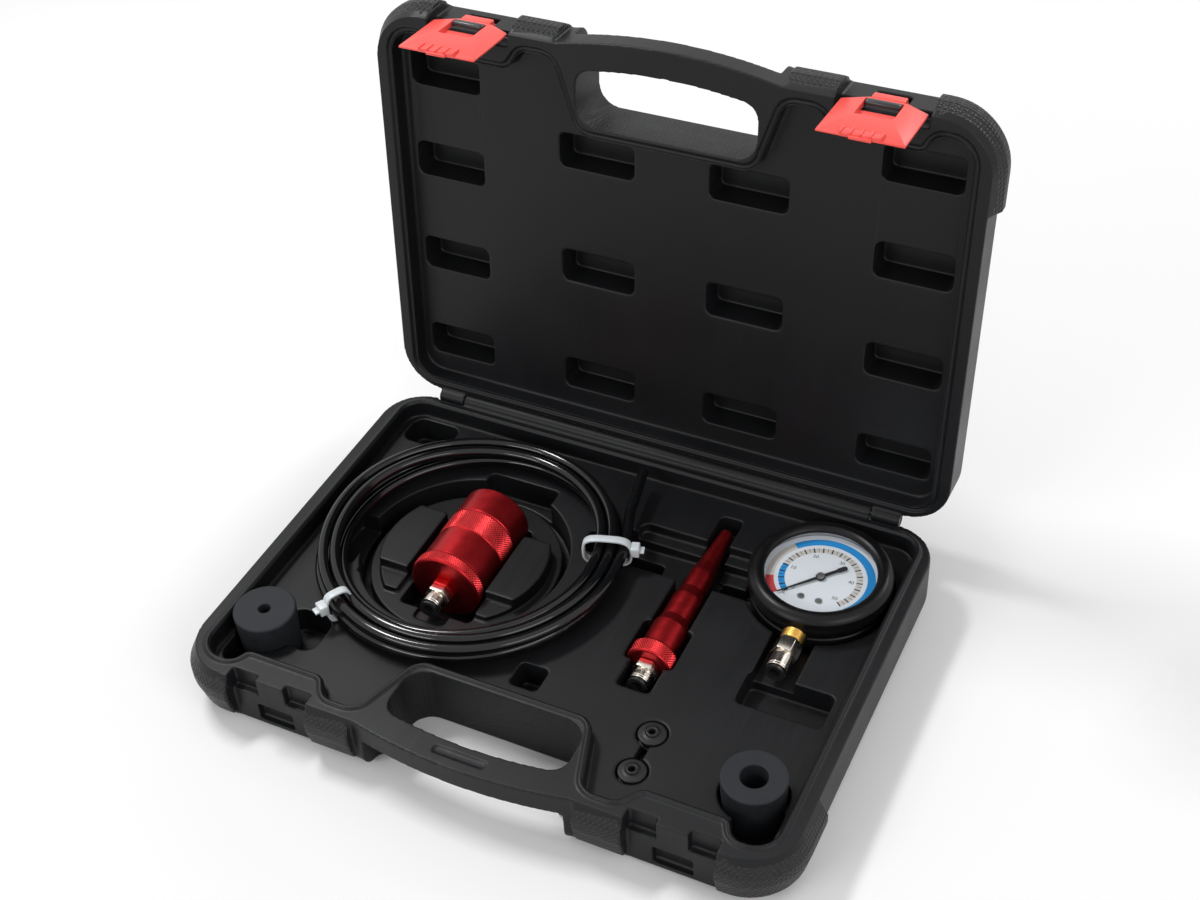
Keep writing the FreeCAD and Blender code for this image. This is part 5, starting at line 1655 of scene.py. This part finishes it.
@dataclass
class LargeAdapter:
    """Red adapter: knurled cap with a small hexagon, and an open barrel with a knurled band."""

    centre: tuple[float, float] = (-70.3, 24.0)
    face: float = -10.8
    cap_radius: float = 21.2
    cap_length: float = 8.0
    cap_hexagon: float = 13.0
    hexagon_length: float = 4.0
    socket: float = 4.9
    passage: float = 1.2
    radius: float = 20.0
    length: float = 62.5
    band: tuple[float, float] = (28.8, 43.3)
    band_radius: float = 20.4
    bore: float = 17.2
    bore_start: float = 12.0

    def build(self, finishes: Finishes) -> None:
        """Makes cap, barrel, knurls and the push-in fitting.
        """
        place = at(self.centre[0], self.face, self.centre[1]) @ TO_BACK
        self._cap(finishes, place)
        self._barrel(finishes, place)
        dress(finishes.seal, "adapter_seal")
        seat = (self.centre[0], self.face - self.hexagon_length, self.centre[1])
        PushInFitting("adapter", Body.LARGE_ADAPTER, seat, 5.0, 6.5).build(finishes)

    def _cap(self, finishes: Finishes, place: Matrix) -> None:
        """Turns the knurled cap with its hexagon.

        Args:
            place: The adapter's place, in metres.
        """
        edge, end, low = self.cap_radius - 0.45, self.cap_length, -self.hexagon_length
        profile = [
            (self.socket, low), (5.6, low), (5.6, 0.0), (edge - 1.4, 0.0), (edge - 0.5, 0.5),
            (edge, 1.2), (edge, end - 0.8), (edge - 0.8, end), (18.5, end), (18.5, 4.5),
            (self.passage, 4.5), (self.passage, 2.1), (self.socket, 2.1),
        ]
        cap = lathe("adapter_cap_disc", profile, finishes.red, place, 128)
        outline = hexagon(self.cap_hexagon)
        nut = prism("adapter_cap_nut", outline, low, 0.3, finishes.red, place, 0.35)
        low, high = self.face + 1.2, self.face + end - 0.8
        knurl = Knurl("adapter_cap_knurl", edge, 0.44, low, high, self.centre)
        whole = join("adapter_cap_turned", (cap, nut, knurl.build(finishes.knurl)))
        settle(whole, Body.LARGE_ADAPTER, "red_anodised", "adapter_cap")

    def _barrel(self, finishes: Finishes, place: Matrix) -> None:
        """Turns the open barrel with its knurled band between two grooves.

        Args:
            place: The adapter's place, in metres.
        """
        low, high = self.band
        ring, wide, end = self.band_radius - 0.4, self.radius, self.length
        groove = wide - 0.5
        profile = [
            (self.passage, 6.0), (18.4, 6.0), (18.4, 8.05), (wide - 0.2, 8.05), (wide, 8.3),
            (wide, low - 0.9), (groove, low - 0.6), (groove, low - 0.2), (ring, low), (ring, high),
            (groove, high + 0.2), (groove, high + 0.6), (wide, high + 0.9), (wide, end - 0.9),
            (wide - 0.3, end - 0.3), (wide - 0.9, end), (self.bore + 0.5, end),
            (self.bore, end - 0.5), (self.bore, self.bore_start), (self.passage, self.bore_start),
        ]
        barrel = lathe("adapter_barrel_tube", profile, finishes.red, place, 128)
        low, high = self.face + low, self.face + high
        band = Knurl("adapter_band_knurl", ring, 0.4, low, high, self.centre)
        whole = join("adapter_barrel_turned", (barrel, band.build(finishes.knurl)))
        settle(whole, Body.LARGE_ADAPTER, "red_anodised", "adapter_barrel")


@dataclass
class SteppedAdapter:
    """Long red adapter that steps down to its tip, with a knurled collar."""

    centre: tuple[float, float] = (55.5, 22.0)
    face: float = -18.0
    collar: float = 13.0
    collar_length: float = 10.0
    socket: float = 4.9
    socket_depth: float = 6.6
    passage: float = 1.2
    steps: tuple[tuple[float, float], ...] = (
        (9.8, 28.0), (8.3, 34.0), (8.3, 51.0), (7.0, 57.5),
        (7.0, 71.0), (5.6, 80.0), (3.7, 107.0), (3.0, 108.0),
    )

    def build(self, finishes: Finishes) -> None:
        """Makes the body, the collar's knurl and the push-in fitting.
        """
        place = at(self.centre[0], self.face, self.centre[1]) @ TO_BACK
        edge, end = self.collar - 0.45, self.collar_length
        profile = [
            (self.socket, 0.0), (edge - 1.2, 0.0), (edge - 0.4, 0.3), (edge, 0.9),
            (edge, end - 0.9), (edge - 0.4, end - 0.3), (edge - 1.0, end),
            (9.6, end + 0.1), (9.8, end + 0.5),
            *self.steps,
            (self.passage, self.steps[-1][1]), (self.passage, self.socket_depth),
            (self.socket, self.socket_depth),
        ]
        body = lathe("stepped_body", profile, finishes.red, place, 96)
        low, high = self.face + 0.8, self.face + end - 0.8
        knurl = Knurl("stepped_knurl", edge, 0.44, low, high, self.centre).build(finishes.knurl)
        whole = join("stepped_adapter_turned", (body, knurl))
        settle(whole, Body.LONG_ADAPTER, "red_anodised", "stepped_adapter")
        seat = (self.centre[0], self.face, self.centre[1])
        PushInFitting("stepped", Body.LONG_ADAPTER, seat, 6.0, 6.0).build(finishes)


# ---------------------------------------------------------------- gauge


@dataclass
class Gauge:
    """Dial gauge in its rubber boot, with a threaded brass stem."""

    centre: tuple[float, float] = (119.3, 66.0)
    low: float = 8.0
    top: float = 42.0
    dial_top: float = 34.3
    print_height: float = 0.03
    zero: float = 227.0
    sweep: float = 270.0
    numbers: int = 6
    number_size: float = 3.3
    number_radius: float = 16.4
    stem_height: float = 28.0
    stem_end: float = 45.0
    thread: tuple[float, float] = (35.0, 44.0)
    thread_pitch: float = 1.15

    def build(self, finishes: Finishes) -> None:
        """Makes boot, dial marks, stem and fitting, and dresses the kept nodes.
        """
        place = at(*self.centre)
        self._boot(finishes, place)
        self._dial(finishes)
        self._stem(finishes)
        dress(
            finishes.steel, "gauge_case", "lens_ring", "stop_pin", "socket_screws",
            "movement_screws", "hairspring", "needle_cap", "dial_screws",
        )
        dress(
            finishes.brass, "movement_bottom_plate", "movement_top_plate", "movement_pillars",
            "pinion_arbor", "sector_gear", "bourdon_link", "bourdon_tube", "bourdon_tip",
        )
        dress(finishes.lens, "gauge_lens")
        dress(finishes.ink, "needle")
        seat = (self.centre[0], self.centre[1] - self.stem_end, self.stem_height)
        PushInFitting("gauge", Body.GAUGE, seat, 10.0, 10.0).build(finishes)

    def _boot(self, finishes: Finishes, place: Matrix) -> None:
        """Turns the rubber boot with a thick rounded shoulder and a waist under it.

        Args:
            place: The gauge's place, in metres.
        """
        low, top = self.low, self.top
        profile = [(0.0, low), (35.8, low), (37.0, low + 0.4), (37.7, low + 1.6)]
        profile += [(37.8, low + 17.5), (37.6, low + 18.1), (37.0, low + 18.6)]
        profile += [(37.0, low + 19.2), (37.7, low + 19.8)]
        profile += arc((34.4, top - 9.0), 4.6, -35.0, 20.0, 5)
        profile += arc((33.6, top - 5.9), 5.85, 24.0, 98.0, 9)
        profile += [(31.4, top - 0.7), (30.4, top - 1.6), (30.0, top - 2.6), (30.0, top - 2.95)]
        profile += [(34.2, top - 2.95), (34.2, low + 2.8), (0.0, low + 2.8)]
        boot = lathe("gauge_boot_rubber", profile, finishes.boot, place, 144)
        settle(boot, Body.GAUGE, "boot_rubber", "gauge_boot")

    def _dial(self, finishes: Finishes) -> None:
        """Prints the face, tick marks and plain numbers.
        """
        centre = (self.centre[0] * MM, self.centre[1] * MM, 0.0)
        dress(DialPrint("dial print", centre, self.zero).material(), "gauge_dial")
        marks = [
            self._ticks("dial_long_ticks", 21, (19.3, 22.7), 0.75, finishes.ink),
            self._ticks("dial_short_ticks", 41, (20.2, 22.7), 0.28, finishes.ink),
        ]
        marks += [self._number(n, finishes.ink) for n in range(self.numbers)]
        settle(join("dial_marks", marks), Body.GAUGE, "dial_paint")

    def _ticks(
        self,
        name: str,
        count: int,
        reach: tuple[float, float],
        width: float,
        ink: bpy.types.Material,
    ) -> bpy.types.Object:
        """Grows a row of radial marks over the dial's sweep by a geometry tree.

        Args:
            name: The row's name.
            count: Number of marks.
            reach: Their inner and outer radius in millimetres.
            width: Their width in millimetres.
            ink: Their finish.

        Returns:
            The marks.
        """
        inner, outer = reach
        tree = GeometryTree(name, {
            "Count": count,
            "Middle radius": (inner + outer) / 2.0 * MM,
            "Length": (outer - inner) * MM,
            "Width": width * MM,
            "Zero": math.radians(self.zero),
            "Sweep": math.radians(self.sweep),
            "Height": (self.dial_top + self.print_height) * MM,
            "Centre X": self.centre[0] * MM,
            "Centre Y": self.centre[1] * MM,
        })
        index = tree.signal("GeometryNodeInputIndex", 0)
        size = tree.size
        angle = size("Zero") - size("Sweep") * index / (size("Count") - 1.0)
        x = angle.cosine() * size("Middle radius") + size("Centre X")
        y = angle.sine() * size("Middle radius") + size("Centre Y")
        values = {"Size X": size("Length"), "Size Y": size("Width")}
        values |= {"Vertices X": 2, "Vertices Y": 2}
        bar = tree.signal("GeometryNodeMeshGrid", 0, None, values)
        places, turns = tree.vector(x, y, size("Height")), tree.vector(0.0, 0.0, angle)
        return tree.mesh(name, tree.scatter(size("Count"), places, turns, bar), ink)

    def _number(self, n: int, ink: bpy.types.Material) -> bpy.types.Object:
        """Sets one plain number inside the tick marks.

        Args:
            n: Its place in the row, from 0.
            ink: Its finish.

        Returns:
            The number.
        """
        data = bpy.data.curves.new(f"number_{n}", "FONT")
        data.body = str(n * 10)
        data.size = self.number_size * MM
        data.align_x = "CENTER"
        data.align_y = "CENTER"
        text = linked(bpy.data.objects.new(f"number_{n}", data))
        mesh = plain_mesh(text)
        bpy.data.objects.remove(text)
        x, y = polar(self.number_radius, self.zero - self.sweep * n / (self.numbers - 1.0))
        height = self.dial_top + self.print_height
        mesh.transform(at(self.centre[0] + x, self.centre[1] + y, height))
        mesh.materials.clear()
        mesh.materials.append(ink)
        return linked(bpy.data.objects.new(f"number_{n}", mesh))

    def _stem(self, finishes: Finishes) -> None:
        """Turns the brass stem with its thread between the boot and the fitting.
        """
        place = at(*self.centre, self.stem_height) @ TO_FRONT
        profile = [(2.0, 26.0), (5.0, 26.0), (5.0, 34.3), (6.3, 34.4)]
        crest, thread_end = self.thread
        while crest < thread_end:
            profile += [(5.75, crest), (6.45, crest + 0.5), (6.45, crest + 0.65)]
            crest += self.thread_pitch
        end = self.stem_end
        profile += [(5.8, crest), (6.2, end), (4.9, end), (4.9, end - 6.5), (2.0, end - 6.5)]
        stem = lathe("gauge_stem_turned", profile, finishes.brass, place, 72)
        settle(stem, Body.GAUGE, "brass", "gauge_stem")


# ---------------------------------------------------------------- rubber pieces


@dataclass
class Plug:
    """Round rubber plug with a bore."""

    node: str
    body: Body
    centre: tuple[float, float]
    top: float
    radius: float
    hole: float
    height: float = 30.0
    taper: float = 1.4
    rim: float = 1.2
    lip: float = 0.7

    def build(self, finishes: Finishes) -> None:
        """Turns the plug with rounded rims.
        """
        low = self.top - self.height
        foot = self.radius - self.taper
        profile = [(self.hole, low + 0.4), (self.hole + 0.4, low), (foot - 0.8, low)]
        profile += [(foot, low + 0.8)]
        profile += arc((self.radius - self.rim, self.top - self.rim), self.rim, 0.0, 90.0, 5)
        profile += arc((self.hole + self.lip, self.top - self.lip), self.lip, 90.0, 180.0, 4)
        plug = lathe(self.node + "_rubber", profile, finishes.plug, at(*self.centre), 96)
        settle(plug, self.body, "plug_rubber", self.node)


@dataclass
class Grommet:
    """Small rubber grommet with a flange, a neck and a domed nipple."""

    node: str
    body: Body
    centre: tuple[float, float]
    top: float = 28.0
    height: float = 10.0
    radius: float = 7.5
    bore: float = 1.6

    def build(self, finishes: Finishes) -> None:
        """Turns the grommet with soft edges.
        """
        low, edge = self.top - self.height, self.radius
        neck = edge - 2.2
        profile = [(self.bore, low), (edge - 0.6, low), (edge - 0.1, low + 0.4), (edge, low + 0.9)]
        profile += [(edge, low + 3.2), (edge - 0.4, low + 3.7), (neck, low + 4.2)]
        profile += [(neck, low + 5.8), (edge - 0.5, low + 6.3)]
        profile += arc((edge - 0.9, low + 7.3), 0.9, -40.0, 90.0, 5)
        profile += [(edge - 2.6, low + 8.3), (edge - 3.1, low + 8.5), (self.bore + 2.0, low + 8.7)]
        profile += arc((self.bore + 1.0, low + 9.0), 1.0, 0.0, 180.0, 6)
        ring = lathe(self.node + "_rubber", profile, finishes.seal, at(*self.centre), 64)
        settle(ring, self.body, "plug_rubber", self.node)


# ---------------------------------------------------------------- the whole kit


class SubAssembly(Protocol):
    def build(self, finishes: Finishes) -> None:
        """Makes the sub-assembly's pieces."""


def main() -> None:
    logging.basicConfig(level=logging.INFO, format="%(message)s")
    finishes = Finishes()
    Studio().build()
    ties = [CableTie(node, turn).build(finishes) for node, turn in TIE_TURNS.items()]
    Hose().build(finishes, ties)
    LOG.info("hose and ties are made")
    left_plug = Plug("small_bore_plug", Body.LEFT_PLUG, (-142.1, -75.2), 41.0, 16.9, 3.25)
    right_plug = Plug("large_bore_plug", Body.RIGHT_PLUG, (137.7, -74.9), 39.4, 16.7, 7.0)
    assemblies: dict[str, SubAssembly] = {
        "case": CarryCase(),
        "gauge": Gauge(),
        "large adapter": LargeAdapter(),
        "stepped adapter": SteppedAdapter(),
        "left plug": left_plug,
        "right plug": right_plug,
        "rear grommet": Grommet("rear_grommet", Body.REAR_RING, (77.2, -60.3)),
        "front grommet": Grommet("front_grommet", Body.FRONT_RING, (77.7, -85.5)),
    }
    for name, assembly in assemblies.items():
        assembly.build(finishes)
        LOG.info("%s is made", name)


if __name__ == "__main__":
    main()
